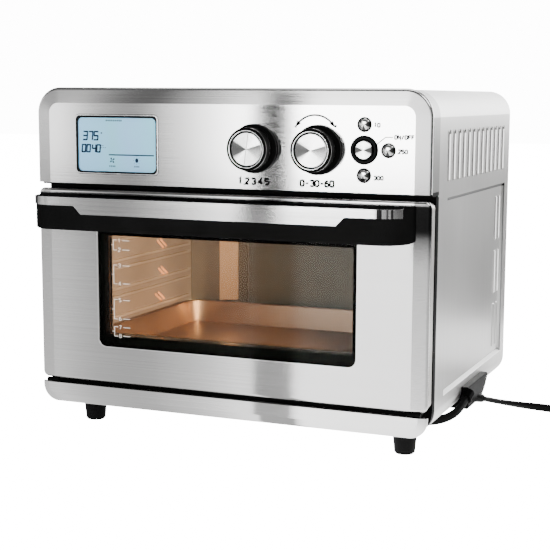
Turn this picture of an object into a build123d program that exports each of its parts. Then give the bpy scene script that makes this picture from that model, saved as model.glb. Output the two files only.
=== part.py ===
from build123d import *
from math import cos, pi, radians, sin, sqrt, tan
import os

os.makedirs("parts", exist_ok=True)

# Driving sizes, in millimetres. X runs to the right of the oven, Y to its rear and Z up from the table.
# A depth is measured to the rear from the rim plane, where the rolled edge of the front shell is widest.

# Whole oven
width = 400.0
height = 338.0
foot_height = 26.4
shell_depth = 309.0
handle_reach = 45.0

# Front shell of fascia, door and lower trim
front_rise = 4.0
rim_lip = 1.6
border_width = 15.0
border_fall = 2.5
roll_radius = 3.0
skin = 1.0
top_corner = 25.0
fascia_height = 92.0
door_gap = 5.5
door_bottom = 51.0
door_corner = 6.0
trim_top = 46.2
trim_border = 8.0
trim_corner = 17.0
trim_leg_x = 120.0
trim_leg = 14.0
border_slope = 0.9
window_roll = 0.8

# Cabinet
sheet = 1.0
wrap_front = 26.0
wrap_inset = 1.0
bottom_corner = 20.0
wrap_flange = 48.0
rear_flange = 11.0
recess_front = 55.0
recess_end = 19.0
recess_low = 55.0
recess_drop = 98.0
recess_depth = 3.0
press_slope = 45.0
louvre_count = 13
louvre_first = 56.5
louvre_end = 35.3
louvre_drop = 37.5
louvre_length = 46.0
louvre_width = 6.0
louvre_rise = 1.0
louvre_slit = 1.4
louvre_slope = 40.0
rear_louvre_end = 47.0
rear_louvre_pitch = 14.5
rear_louvre_row = 64.5
rear_louvre_columns = 2
rear_louvre_rows = 3
rear_louvre_length = 47.0
rear_louvre_step = 57.8
housing_front = 5.4
housing_drop = 2.0
housing_wall = 1.2
frame_front = 18.0
frame_plate = 2.0
frame_drop = 3.0
frame_wall = 1.2

# Cooking chamber
side_gap = 27.0
mouth_low = 56.0
mouth_drop = 8.5
rear_gap = 33.0
liner_flange = 7.0
pocket_half = 114.0
pocket_margin = 10.0
pocket_depth = 12.0
rail_count = 4
rail_first = 93.5
rail_pitch = 30.0
rail_half_gap = 4.3
rail_height = 3.2
rail_proud = 4.5
rail_margin = 12.0

# Door window and door layers
window_side = 67.0
window_low = 87.3
window_drop = 34.0
window_corner = 8.0
clear_side = 5.0
clear_rise = 10.3
clear_drop = 10.5
clear_corner = 3.0
glass_thickness = 4.0
glass_lap = 6.0
core_front = 0.0
inner_pan_front = 3.3
inner_pan_rear = 16.0
inner_glass_thickness = 3.0
inner_glass_lap = 6.0
inner_pan_inset = 1.5
frame_rib = 3.0
seal_width = 4.0
seal_gap = 0.3
seat_gap = 0.3
seal_overlap = 3.0

# Door hinge
hinge_depth = -1.5
hinge_height = 48.6
knuckle_radius = 2.1
pin_radius = 1.2
hinge_inset = 12.0
knuckle_length = 6.0
strap_thickness = 1.3
strap_end = 14.0
hinge_gap = 0.3

# Handle
handle_drop = 5.0
handle_height = 31.2
handle_inset = 11.0
handle_bar = 16.0
handle_bend = 26.0
leg_inset = 13.0
leg_width = 35.0
leg_slope = 13.0
handle_edge = 2.0
strip_thickness = 1.0
strip_inset = 16.0
strip_end_height = 7.8
strip_mid_height = 15.6
strip_step = 73.0
handle_screw_inset = 32.0
handle_screw_depth = 10.0
boss_radius = 6.0

# Controls
display_x = -111.0
panel_drop = 54.0
display_width = 90.0
display_height = 57.0
display_corner = 5.0
bezel_border = 2.4
bezel_proud = 0.8
knob_drop = 54.7
knob_xs = (33.0, 95.0)
knob_skirt_radius = 22.4
knob_radius = 19.4
knob_skirt_depth = 4.5
knob_depth = 20.0
knob_gap = 0.4
cap_radius = 14.4
cap_depth = 2.0
shaft_radius = 3.0
shaft_fit = 0.05
start_x = 138.4
start_ring_radius = 12.9
start_cap_radius = 8.2
button_radius = 5.5
button_offset = 22.4
button_proud = 2.6
button_fit = 0.3
button_travel = 1.5
stem_radius = 2.0

# Boards behind the fascia
carrier_depth = 2.0
board_front = 8.0
board_thickness = 1.6
board_side = 4.2
board_margin = 8.0
post_radius = 3.0
encoder_side = 13.0
switch_side = 6.0
switch_gap = 0.2
stem_end = 2.4
carrier_wall = 3.0
panel_fit = 0.3
lens_thickness = 1.5
knob_bevel = 1.2
knob_draft = 0.6
knob_dish = 0.5
button_clear = 0.4
button_rim = 0.6
start_proud = 2.0
ring_proud = 2.4
ring_slope = 1.5

# Convection fan
fan_shift = 10.0
fan_radius = 76.0
fan_blades = 10
fan_opening = 84.0
housing_radius = 90.0
fan_housing_height = 42.0
fan_rise = 7.0
fan_height = 26.0
guard_radius = 93.0
guard_thickness = 1.2
cooling_radius = 46.0
cooling_height = 8.0
motor_radius = 30.0
motor_height = 36.0
motor_edge = 3.0
motor_bore = 14.0
shaft_clear = 0.8
fan_housing_edge = 8.0
fan_housing_rim = 8.0
guard_rings = 4
guard_step = 19.0
guard_slots = 7
guard_slot_length = 13.0
guard_slot_width = 4.0
fan_hub = 9.0
fan_blade = 34.0
fan_blade_thickness = 1.5
fan_blade_turn = 20.0
cooling_gap = 2.0
bridge_half = 58.0
bridge_width = 40.0
bridge_thickness = 2.0

# Power board
power_inset = 26.0
power_width = 60.0
power_front = 60.0
power_rear = 150.0
power_post = 10.0
relay_length = 18.0
relay_width = 22.0
relay_height = 16.0

# Heating elements, lamp and probe
rod_radius = 3.0
upper_rod_drop = 11.0
upper_rod_steps = (-88.0, -53.0, 53.0, 88.0)
lower_rod_rise = 6.0
lower_rod_steps = (-73.0, 67.0)
holder_radius = 7.0
holder_length = 4.0
lamp_drop = 22.5
lamp_radius = 14.0
probe_x = 128.0
probe_drop = 26.0
probe_length = 45.0
probe_radius = 2.2
pad_air = 11.0
pad_front = 50.0
pad_end = 14.0
pad_low = 76.0
pad_high = 162.0
rod_fit = 0.3
rod_tail = 5.0
lamp_flange = 4.0
lamp_socket = 14.0
bulb_radius = 8.0
bulb_length = 4.0
lamp_cover_height = 8.0
lamp_cover_edge = 3.0
lamp_glass = 2.0
probe_seat = 6.0

# Trays
tray_side = 1.6
tray_front = 30.0
tray_end = 12.0
tray_deep = 25.0
tray_sheet = 1.0
tray_corner = 20.0
tray_lip = 6.4
crumb_margin = 4.0
crumb_lip = 2.0
crumb_sheet = 0.8
crumb_front = 22.0
tray_draft = 8.0
tray_edge = 4.0

# Feet and screws
foot_inset = 33.7
foot_front = 43.2
foot_end = 39.0
foot_top_radius = 12.0
foot_low_radius = 9.8
screw_radius = 1.7
screw_head_radius = 3.5
screw_head = 1.8
screw_hole = 2.0
screw_length = 8.0
rear_screw_inset = 18.0
foot_rim = 3.0
foot_edge = 1.5
foot_stem = 4.0
foot_fit = 0.1

# Rear cover and base pan slots
rear_slot_z = 190.0
rear_slot_pitch = 14.0
rear_slot_step = 52.0
rear_slot_columns = 16
rear_slot_rows = 3
rear_slot_length = 40.0
rear_slot_width = 4.0
base_inset = 24.0
base_slot_pitch = 30.0
base_slot_step = 22.0
base_slot_columns = 8
base_slot_rows = 5
base_slot_length = 22.0
base_slot_width = 4.0

# Power cord and its fittings
cord_diameter = 7.6
block_front = 124.0
block_rear = 205.0
block_low = 27.0
block_high = 49.0
block_thickness = 7.0
block_reach = 13.0
block_level = 158.0
block_tail = 45.0
block_belly = 188.0
block_belly_low = 31.5
block_round = 3.0
block_edge = 1.2
block_fit = 0.2
collar_radius = 5.2
relief_length = 24.0
relief_radius = 6.0
relief_end = 4.3
bushing_length = 16.0
bushing_radius = 4.7
bushing_width = 7.0
coil_radius = 47.0
coil_step = 5.0
coil_layer = 8.4
coil_half_turns = 2
tie_width = 9.0
tie_thickness = 0.8
tie_fit = 0.3
tie_slack = 0.9
plug_relief = 40.0
plug_length = 30.0
plug_width = 30.0
plug_height = 26.0
plug_corner = 8.0
pin_length = 17.0
pin_width = 6.4
pin_thickness = 1.6
pin_gap = 12.7
plug_edge = 2.5
bend_share = 0.45
coil_sample = 2.0
coil_apart = 2.0
lead_route = [(158.0, 79.0, 21.5), (176.0, 81.0, 21.6), (192.6, 90.5, 24.0), (203.0, 104.0, 30.6)]
lead_route.append((204.6, 120.0, 38.2))
cord_route = [(206.0, 180.0, 26.0), (211.5, 198.0, 20.5), (220.0, 215.5, 15.2), (233.0, 233.5, 9.8)]
cord_route.extend([(249.0, 245.5, 6.4), (269.0, 248.5, 4.9), (288.0, 245.5, 4.9), (305.0, 240.5, 4.9)])

# Places that follow from the sizes
half_width = width / 2
rim_y = handle_reach - (handle_reach + shell_depth) / 2
wrap_half = half_width - wrap_inset
wrap_top = height - wrap_inset
wrap_rear = shell_depth - screw_head - sheet
inner_half = wrap_half - sheet
fascia_bottom = height - fascia_height
door_top = fascia_bottom - door_gap
housing_bottom = fascia_bottom - housing_drop
frame_top = fascia_bottom - frame_drop
mouth_half = inner_half - side_gap
mouth_high = door_top - mouth_drop
chamber_rear = shell_depth - rear_gap
window_half = half_width - window_side
window_high = door_top - window_drop
clear_half = window_half - clear_side
clear_low = window_low + clear_rise
clear_high = window_high - clear_drop
hinge_x = half_width - hinge_inset
handle_high = door_top - handle_drop
handle_low = handle_high - handle_height
handle_half = half_width - handle_inset
leg_outer = half_width - leg_inset
leg_inner = leg_outer - leg_width
leg_shoulder = leg_inner - leg_slope
strip_half = half_width - strip_inset
strip_step_x = half_width - strip_step
handle_screw_x = half_width - handle_screw_inset
display_z = height - panel_drop
start_z = height - panel_drop
knob_z = height - knob_drop
board_half = start_x + button_offset + board_side
recess_rear = shell_depth - recess_end
recess_high = height - recess_drop
louvre_high = height - louvre_drop
louvre_low = louvre_high - louvre_length
louvre_pitch = (shell_depth - louvre_end - louvre_first) / (louvre_count - 1)
rear_louvre_column = shell_depth - rear_louvre_end
fan_depth = (frame_front + frame_plate + chamber_rear) / 2 + fan_shift
fan_y = rim_y + fan_depth
upper_rod_z = mouth_high - upper_rod_drop
lower_rod_z = mouth_low + lower_rod_rise
lamp_z = mouth_high - lamp_drop
probe_z = mouth_high - probe_drop
pad_thickness = side_gap - sheet - pad_air
pad_rear = chamber_rear - pad_end
power_x = mouth_half - power_inset
tray_half = mouth_half - tray_lip - tray_side
tray_rear = chamber_rear - tray_end
foot_x = half_width - foot_inset
base_half = half_width - base_inset
liner_top = mouth_high + sheet
fan_low = liner_top + fan_rise
liner_half = mouth_half + sheet
front_y = rim_y - front_rise
foot_ys = (rim_y + foot_front, rim_y + shell_depth - foot_end)
handle_mid = (handle_low + handle_high) / 2
screw_line = wrap_half - rear_flange / 2
rear_screws = [(screw_line, foot_height + bottom_corner + rear_screw_inset)]
rear_screws.append((screw_line, (foot_height + wrap_top) / 2))
rear_screws.append((screw_line, wrap_top - top_corner - rear_screw_inset))
rear_screws.append((wrap_half - top_corner - rear_screw_inset, wrap_top - rear_flange / 2))


def facing(depth):
    """Drawing plane that looks at the front of the oven, so that its normal points forward."""
    return Plane.XZ.offset(-(rim_y + depth))


def level(z):
    return Plane.XY.offset(z)


def inward(x):
    """Drawing plane on the right flank with its normal into the oven: its first axis runs forward."""
    return Plane(origin=(x, 0, 0), x_dir=(0, -1, 0), z_dir=(-1, 0, 0))


def area(low_a, high_a, low_b, high_b, radius=0.0, mode=Mode.ADD):
    """Rectangle between two limits each way, with round corners if a radius is given."""
    with Locations(((low_a + high_a) / 2, (low_b + high_b) / 2)):
        if radius > 0:
            RectangleRounded(high_a - low_a, high_b - low_b, radius, mode=mode)
        else:
            Rectangle(high_a - low_a, high_b - low_b, mode=mode)


# Cabinet wrap: right half of the folded sheet, then its mirror image
with BuildPart() as cabinet_wrap:
    with BuildSketch(facing(wrap_front)) as section:
        area(0, wrap_half, foot_height, wrap_top)
        outer = section.vertices().group_by(Axis.X)[-1]
        fillet(outer.sort_by(Axis.Y)[-1], top_corner - wrap_inset)
        outer = section.vertices().group_by(Axis.Y)[0].sort_by(Axis.X)[-1]
        fillet(outer, bottom_corner)
        offset(amount=-sheet, mode=Mode.SUBTRACT)
        area(0, sheet, foot_height + sheet, wrap_top - sheet, mode=Mode.SUBTRACT)
        area(0, wrap_half - wrap_flange, foot_height, foot_height + sheet, mode=Mode.SUBTRACT)
    extrude(amount=-(wrap_rear - wrap_front))
    with BuildSketch(facing(wrap_rear)) as section:
        area(0, wrap_half, foot_height, wrap_top)
        outer = section.vertices().group_by(Axis.X)[-1]
        fillet(outer.sort_by(Axis.Y)[-1], top_corner - wrap_inset)
        outer = section.vertices().group_by(Axis.Y)[0].sort_by(Axis.X)[-1]
        fillet(outer, bottom_corner)
        offset(amount=-rear_flange, mode=Mode.SUBTRACT)
        area(0, rear_flange, foot_height + rear_flange, wrap_top - rear_flange, mode=Mode.SUBTRACT)
    extrude(amount=sheet)
    # Pressed recess in the flank: its back is added inside before its hollow is cut
    with BuildSketch(inward(inner_half)):
        area(
            -(rim_y + recess_rear) - sheet,
            -(rim_y + recess_front) + sheet,
            recess_low - sheet,
            recess_high + sheet,
        )
    extrude(amount=recess_depth, taper=press_slope)
    with BuildSketch(inward(wrap_half)):
        area(-(rim_y + recess_rear), -(rim_y + recess_front), recess_low, recess_high)
    extrude(amount=recess_depth, taper=press_slope, mode=Mode.SUBTRACT)
    # Pressed louvres: raised hoods, each with a slit along its rear side
    side_hoods = []
    for i in range(louvre_count):
        side_hoods.append((rim_y + louvre_first + i * louvre_pitch, louvre_low, louvre_high))
    rear_hoods = []
    for column in range(rear_louvre_columns):
        for row in range(rear_louvre_rows):
            foot = rear_louvre_row + row * rear_louvre_step
            place = rim_y + rear_louvre_column + column * rear_louvre_pitch
            rear_hoods.append((place, foot, foot + rear_louvre_length))
    for x, hoods in ((wrap_half, side_hoods), (wrap_half - recess_depth, rear_hoods)):
        with BuildSketch(Plane.YZ.offset(x)):
            for y, low, high in hoods:
                area(y - louvre_width / 2, y + louvre_width / 2, low, high)
        extrude(amount=louvre_rise, taper=louvre_slope)
        with BuildSketch(Plane.YZ.offset(x - sheet)):
            for y, low, high in hoods:
                slit = y + louvre_width / 2 - louvre_rise
                area(slit - louvre_slit, slit, low + louvre_rise, high - louvre_rise)
        extrude(amount=sheet + louvre_rise, mode=Mode.SUBTRACT)
    with BuildSketch(level(foot_height)):
        with Locations([(foot_x, y) for y in foot_ys]):
            Circle(foot_stem + foot_fit)
    extrude(amount=sheet, mode=Mode.SUBTRACT)
    with BuildSketch(facing(wrap_rear)):
        with Locations(rear_screws):
            Circle(screw_hole)
    extrude(amount=sheet, mode=Mode.SUBTRACT)
    mirror(about=Plane.YZ)
cabinet_wrap.part.label = "cabinet_wrap"
export_step(cabinet_wrap.part, "parts/cabinet_wrap.step")


# Rear cover: flat plate screwed to the rear flange, with rows of air slots
with BuildPart() as rear_cover:
    with BuildSketch(facing(wrap_rear + sheet)) as section:
        area(-wrap_half, wrap_half, foot_height, wrap_top)
        fillet(section.vertices().group_by(Axis.Y)[-1], top_corner - wrap_inset)
        fillet(section.vertices().group_by(Axis.Y)[0], bottom_corner)
        with Locations((0, rear_slot_z)):
            with GridLocations(rear_slot_pitch, rear_slot_step, rear_slot_columns, rear_slot_rows):
                SlotOverall(rear_slot_length, rear_slot_width, rotation=90, mode=Mode.SUBTRACT)
        with Locations([(x * side, z) for x, z in rear_screws for side in (-1, 1)]):
            Circle(screw_hole, mode=Mode.SUBTRACT)
    extrude(amount=sheet)
rear_cover.part.label = "rear_cover"
export_step(rear_cover.part, "parts/rear_cover.step")

# Screws of the rear cover
with BuildPart() as rear_cover_screws:
    with BuildSketch(facing(wrap_rear + sheet)):
        with Locations([(x * side, z) for x, z in rear_screws for side in (-1, 1)]):
            Circle(screw_head_radius)
    extrude(amount=-screw_head)
    fillet(rear_cover_screws.faces().sort_by(Axis.Y)[-len(rear_screws) * 2 :].edges(), screw_head / 2)
    with BuildSketch(facing(wrap_rear + sheet)):
        with Locations([(x * side, z) for x, z in rear_screws for side in (-1, 1)]):
            Circle(screw_radius)
    extrude(amount=screw_length)
rear_cover_screws.part.label = "rear_cover_screws"
export_step(rear_cover_screws.part, "parts/rear_cover_screws.step")

# Base pan: plate on the bottom flanges of the wrap
base_z = foot_height + sheet
with BuildPart() as base_pan:
    with BuildSketch(level(base_z)):
        area(-base_half, base_half, rim_y + wrap_front, rim_y + wrap_rear - sheet)
        with Locations([(side * foot_x, y) for side in (-1, 1) for y in foot_ys]):
            Circle(foot_stem + foot_fit, mode=Mode.SUBTRACT)
        with Locations((0, rim_y + (wrap_front + wrap_rear) / 2)):
            with GridLocations(base_slot_pitch, base_slot_step, base_slot_columns, base_slot_rows):
                SlotOverall(base_slot_length, base_slot_width, mode=Mode.SUBTRACT)
    extrude(amount=sheet)
base_pan.part.label = "base_pan"
export_step(base_pan.part, "parts/base_pan.step")

# Rubber feet, pushed into the bottom flanges and the base pan by a stem
with BuildPart() as feet:
    for y in foot_ys:
        for side in (-1, 1):
            with BuildSketch(Plane.XZ.offset(-y)):
                with BuildLine():
                    middle = side * foot_x
                    Polyline(
                        (middle, base_z + sheet + foot_rim),
                        (middle + foot_stem, base_z + sheet + foot_rim),
                        (middle + foot_stem, foot_height),
                        (middle + foot_top_radius, foot_height),
                        (middle + foot_top_radius, foot_height - foot_rim),
                        (middle + foot_low_radius, foot_edge),
                        (middle + foot_low_radius - foot_edge, 0),
                        (middle, 0),
                        close=True,
                    )
                make_face()
            revolve(axis=Axis((middle, y, 0), (0, 0, 1)))
feet.part.label = "feet"
export_step(feet.part, "parts/feet.step")

# Black front frame round the mouth of the chamber
with BuildPart() as front_frame:
    with BuildSketch(facing(wrap_front)) as section:
        area(-wrap_half, wrap_half, foot_height, frame_top)
        fillet(section.vertices().group_by(Axis.Y)[0], bottom_corner)
        offset(amount=-frame_wall, mode=Mode.SUBTRACT)
    extrude(amount=wrap_front - frame_front)
    with BuildSketch(facing(frame_front + frame_plate)) as section:
        area(-wrap_half, wrap_half, foot_height, frame_top)
        fillet(section.vertices().group_by(Axis.Y)[0], bottom_corner)
        area(-mouth_half, mouth_half, mouth_low, mouth_high, mode=Mode.SUBTRACT)
    extrude(amount=frame_plate)
front_frame.part.label = "front_frame"
export_step(front_frame.part, "parts/front_frame.step")

# Steel housing ring behind the fascia
with BuildPart() as control_housing:
    with BuildSketch(facing(wrap_front)) as section:
        area(-wrap_half, wrap_half, housing_bottom, wrap_top)
        fillet(section.vertices().group_by(Axis.Y)[-1], top_corner - wrap_inset)
        offset(amount=-housing_wall, mode=Mode.SUBTRACT)
    extrude(amount=wrap_front - housing_front)
control_housing.part.label = "control_housing"
export_step(control_housing.part, "parts/control_housing.step")

# Chamber liner with a flange at its mouth, a shallow pocket in its back and pressed rails on its walls
rail_zs = [rail_first + i * rail_pitch for i in range(rail_count)]
with BuildPart() as cavity_liner:
    with BuildSketch(facing(frame_front + frame_plate)):
        area(
            -liner_half - liner_flange,
            liner_half + liner_flange,
            mouth_low - sheet - liner_flange,
            liner_top + liner_flange,
        )
    extrude(amount=-sheet)
    with BuildSketch(facing(frame_front + frame_plate)):
        area(-liner_half, liner_half, mouth_low - sheet, liner_top)
    extrude(amount=-(chamber_rear + sheet - frame_front - frame_plate))
    with BuildSketch(facing(chamber_rear + sheet)):
        area(
            -pocket_half - sheet,
            pocket_half + sheet,
            mouth_low + pocket_margin - sheet,
            mouth_high - pocket_margin + sheet,
        )
    extrude(amount=-pocket_depth, taper=press_slope)
    with BuildSketch(facing(frame_front + frame_plate)):
        area(-mouth_half, mouth_half, mouth_low, mouth_high)
    extrude(amount=-(chamber_rear - frame_front - frame_plate), mode=Mode.SUBTRACT)
    with BuildSketch(facing(chamber_rear)):
        area(-pocket_half, pocket_half, mouth_low + pocket_margin, mouth_high - pocket_margin)
    extrude(amount=-pocket_depth, taper=press_slope, mode=Mode.SUBTRACT)
    with BuildSketch(facing(frame_front + frame_plate + rail_margin)):
        for side in (-1, 1):
            for z in rail_zs:
                for ridge in (z - rail_half_gap, z + rail_half_gap):
                    with Locations((side * (mouth_half - rail_proud / 2), ridge)):
                        Rectangle(rail_proud, rail_height)
    extrude(amount=-(chamber_rear - frame_front - frame_plate - 2 * rail_margin))
    # Openings: fan, rods, lamp and probe
    with BuildSketch(level(mouth_high)):
        with Locations((0, fan_y)):
            Circle(fan_opening)
    extrude(amount=sheet, mode=Mode.SUBTRACT)
    rods = [(fan_y + step, upper_rod_z) for step in upper_rod_steps]
    rods = rods + [(fan_y + step, lower_rod_z) for step in lower_rod_steps]
    with BuildSketch(Plane.YZ.offset(-liner_half)):
        with Locations(rods):
            Circle(rod_radius + rod_fit)
    extrude(amount=2 * liner_half, mode=Mode.SUBTRACT)
    with BuildSketch(Plane.YZ.offset(mouth_half)):
        with Locations((fan_y, lamp_z)):
            Circle(lamp_radius)
    extrude(amount=sheet, mode=Mode.SUBTRACT)
    with BuildSketch(facing(chamber_rear)):
        with Locations((probe_x, probe_z)):
            Circle(probe_radius + rod_fit)
    extrude(amount=-sheet, mode=Mode.SUBTRACT)
cavity_liner.part.label = "cavity_liner"
export_step(cavity_liner.part, "parts/cavity_liner.step")

# Heating rods across the chamber, and the ceramic holders at their ends
rod_half = liner_half + holder_length + rod_tail
with BuildPart() as heating_rods:
    with BuildSketch(Plane.YZ.offset(-rod_half)):
        with Locations(rods):
            Circle(rod_radius)
    extrude(amount=2 * rod_half)
heating_rods.part.label = "heating_rods"
export_step(heating_rods.part, "parts/heating_rods.step")
with BuildPart() as rod_holders:
    for x in (liner_half, -liner_half - holder_length):
        with BuildSketch(Plane.YZ.offset(x)):
            with Locations(rods):
                Circle(holder_radius)
                Circle(rod_radius, mode=Mode.SUBTRACT)
        extrude(amount=holder_length)
rod_holders.part.label = "rod_holders"
export_step(rod_holders.part, "parts/rod_holders.step")

# Insulation pads on the outside of the side walls
with BuildPart() as insulation_pads:
    for x in (liner_half, -liner_half - pad_thickness):
        with BuildSketch(Plane.YZ.offset(x)):
            area(rim_y + pad_front, rim_y + pad_rear, pad_low, pad_high)
        extrude(amount=pad_thickness)
insulation_pads.part.label = "insulation_pads"
export_step(insulation_pads.part, "parts/insulation_pads.step")

# Oven lamp: socket and bulb behind the right wall, with a glass cover inside
with BuildPart() as oven_lamp:
    with BuildSketch(Plane.YZ.offset(liner_half)):
        with Locations((fan_y, lamp_z)):
            Circle(lamp_radius + lamp_flange)
            Circle(lamp_radius, mode=Mode.SUBTRACT)
    extrude(amount=sheet)
    with BuildSketch(Plane.YZ.offset(liner_half + sheet)):
        with Locations((fan_y, lamp_z)):
            Circle(lamp_radius + lamp_flange)
    extrude(amount=lamp_socket)
    with BuildSketch(Plane.YZ.offset(liner_half + sheet)):
        with Locations((fan_y, lamp_z)):
            Circle(bulb_radius)
    extrude(amount=-(sheet + bulb_length))
    fillet(oven_lamp.faces().sort_by(Axis.X)[0].edges(), bulb_radius / 2)
oven_lamp.part.label = "oven_lamp"
export_step(oven_lamp.part, "parts/oven_lamp.step")
with BuildPart() as lamp_cover:
    with BuildSketch(Plane.YZ.offset(mouth_half)):
        with Locations((fan_y, lamp_z)):
            Circle(lamp_radius + lamp_flange)
    extrude(amount=-lamp_cover_height)
    fillet(lamp_cover.faces().sort_by(Axis.X)[0].edges(), lamp_cover_edge)
    with BuildSketch(Plane.YZ.offset(mouth_half)):
        with Locations((fan_y, lamp_z)):
            Circle(lamp_radius)
    extrude(amount=-(lamp_cover_height - lamp_glass), mode=Mode.SUBTRACT)
lamp_cover.part.label = "lamp_cover"
export_step(lamp_cover.part, "parts/lamp_cover.step")

# Temperature probe through the back wall, with its seat outside
with BuildPart() as temperature_probe:
    with BuildSketch(facing(chamber_rear + sheet)):
        with Locations((probe_x, probe_z)):
            Circle(probe_seat)
    extrude(amount=-probe_seat)
    with BuildSketch(facing(chamber_rear + sheet)):
        with Locations((probe_x, probe_z)):
            Circle(probe_radius)
    extrude(amount=sheet + probe_length)
temperature_probe.part.label = "temperature_probe"
export_step(temperature_probe.part, "parts/temperature_probe.step")

# Fan housing: domed cover over the opening in the chamber's ceiling
housing_top = liner_top + fan_housing_height
with BuildPart() as fan_housing:
    with BuildSketch(level(liner_top)):
        with Locations((0, fan_y)):
            Circle(housing_radius)
    extrude(amount=fan_housing_height)
    fillet(fan_housing.faces().sort_by(Axis.Z)[-1].edges(), fan_housing_edge)
    offset(amount=-sheet, openings=fan_housing.faces().sort_by(Axis.Z)[0])
    with BuildSketch(level(liner_top)):
        with Locations((0, fan_y)):
            Circle(housing_radius + fan_housing_rim)
            Circle(housing_radius - sheet, mode=Mode.SUBTRACT)
    extrude(amount=sheet)
    with BuildSketch(level(housing_top)):
        with Locations((0, fan_y)):
            Circle(shaft_radius + shaft_clear)
    extrude(amount=-sheet, mode=Mode.SUBTRACT)
fan_housing.part.label = "fan_housing"
export_step(fan_housing.part, "parts/fan_housing.step")

# Guard under the opening, with rings of air slots
with BuildPart() as fan_guard:
    with BuildSketch(level(mouth_high)):
        with Locations((0, fan_y)):
            Circle(guard_radius)
            for ring in range(1, guard_rings + 1):
                with PolarLocations(ring * guard_step, guard_slots * ring):
                    SlotOverall(guard_slot_length, guard_slot_width, mode=Mode.SUBTRACT)
    extrude(amount=-guard_thickness)
fan_guard.part.label = "fan_guard"
export_step(fan_guard.part, "parts/fan_guard.step")

# Convection fan on the lower end of the shaft
with BuildPart() as convection_fan:
    with BuildSketch(level(fan_low + fan_height)):
        with Locations((0, fan_y)):
            Circle(fan_radius)
            Circle(shaft_radius, mode=Mode.SUBTRACT)
    extrude(amount=-sheet)
    with BuildSketch(level(fan_low)):
        with Locations((0, fan_y)):
            Circle(fan_hub)
            Circle(shaft_radius, mode=Mode.SUBTRACT)
    extrude(amount=fan_height - sheet)
    with BuildSketch(level(fan_low)):
        with Locations((0, fan_y)):
            with PolarLocations(fan_radius - fan_blade / 2, fan_blades):
                Rectangle(fan_blade, fan_blade_thickness, rotation=fan_blade_turn)
    extrude(amount=fan_height - sheet)
convection_fan.part.label = "convection_fan"
export_step(convection_fan.part, "parts/convection_fan.step")

# Cooling fan on the same shaft, over the housing
cooling_low = housing_top + cooling_gap
with BuildPart() as cooling_fan:
    with BuildSketch(level(cooling_low)):
        with Locations((0, fan_y)):
            Circle(cooling_radius)
            Circle(shaft_radius, mode=Mode.SUBTRACT)
    extrude(amount=sheet)
    with BuildSketch(level(cooling_low + sheet)):
        with Locations((0, fan_y)):
            Circle(fan_hub)
            Circle(shaft_radius, mode=Mode.SUBTRACT)
            with PolarLocations(cooling_radius / 2, fan_blades):
                Rectangle(cooling_radius - fan_hub, fan_blade_thickness)
    extrude(amount=cooling_height - sheet)
cooling_fan.part.label = "cooling_fan"
export_step(cooling_fan.part, "parts/cooling_fan.step")

# Motor with its bridge over the cooling fan, and the shaft that it turns
bridge_low = cooling_low + cooling_height + cooling_gap
motor_low = bridge_low + bridge_thickness
with BuildPart() as fan_motor:
    with BuildSketch(level(motor_low)):
        with Locations((0, fan_y)):
            Circle(motor_radius)
    extrude(amount=motor_height)
    fillet(fan_motor.faces().sort_by(Axis.Z)[-1].edges(), motor_edge)
    with BuildSketch(level(bridge_low)):
        with Locations((0, fan_y)):
            Rectangle(2 * bridge_half, bridge_width)
    extrude(amount=bridge_thickness)
    with BuildSketch(level(housing_top)):
        for side in (-1, 1):
            with Locations((side * (bridge_half - bridge_thickness / 2), fan_y)):
                Rectangle(bridge_thickness, bridge_width)
    extrude(amount=bridge_low - housing_top)
    with BuildSketch(level(bridge_low)):
        with Locations((0, fan_y)):
            Circle(shaft_radius + shaft_fit)
    extrude(amount=bridge_thickness + motor_bore, mode=Mode.SUBTRACT)
fan_motor.part.label = "fan_motor"
export_step(fan_motor.part, "parts/fan_motor.step")
with BuildPart() as fan_shaft:
    with BuildSketch(level(fan_low)):
        with Locations((0, fan_y)):
            Circle(shaft_radius)
    extrude(amount=motor_low + motor_bore - shaft_clear - fan_low)
fan_shaft.part.label = "fan_shaft"
export_step(fan_shaft.part, "parts/fan_shaft.step")

# Power board on posts over the chamber
with BuildPart() as power_board:
    with BuildSketch(level(liner_top + power_post)):
        area(power_x - power_width / 2, power_x + power_width / 2, rim_y + power_front, rim_y + power_rear)
    extrude(amount=board_thickness)
    middle = rim_y + (power_front + power_rear) / 2
    with BuildSketch(level(liner_top)):
        with Locations((power_x, middle)):
            inset = 2 * board_margin
            with GridLocations(power_width - inset, power_rear - power_front - inset, 2, 2):
                Circle(post_radius)
    extrude(amount=power_post)
    with BuildSketch(level(liner_top + power_post + board_thickness)):
        with Locations((power_x, middle)):
            with GridLocations(relay_length + board_margin, relay_width + board_margin, 2, 2):
                Rectangle(relay_length, relay_width)
    extrude(amount=relay_height)
power_board.part.label = "power_board"
export_step(power_board.part, "parts/power_board.step")

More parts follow.
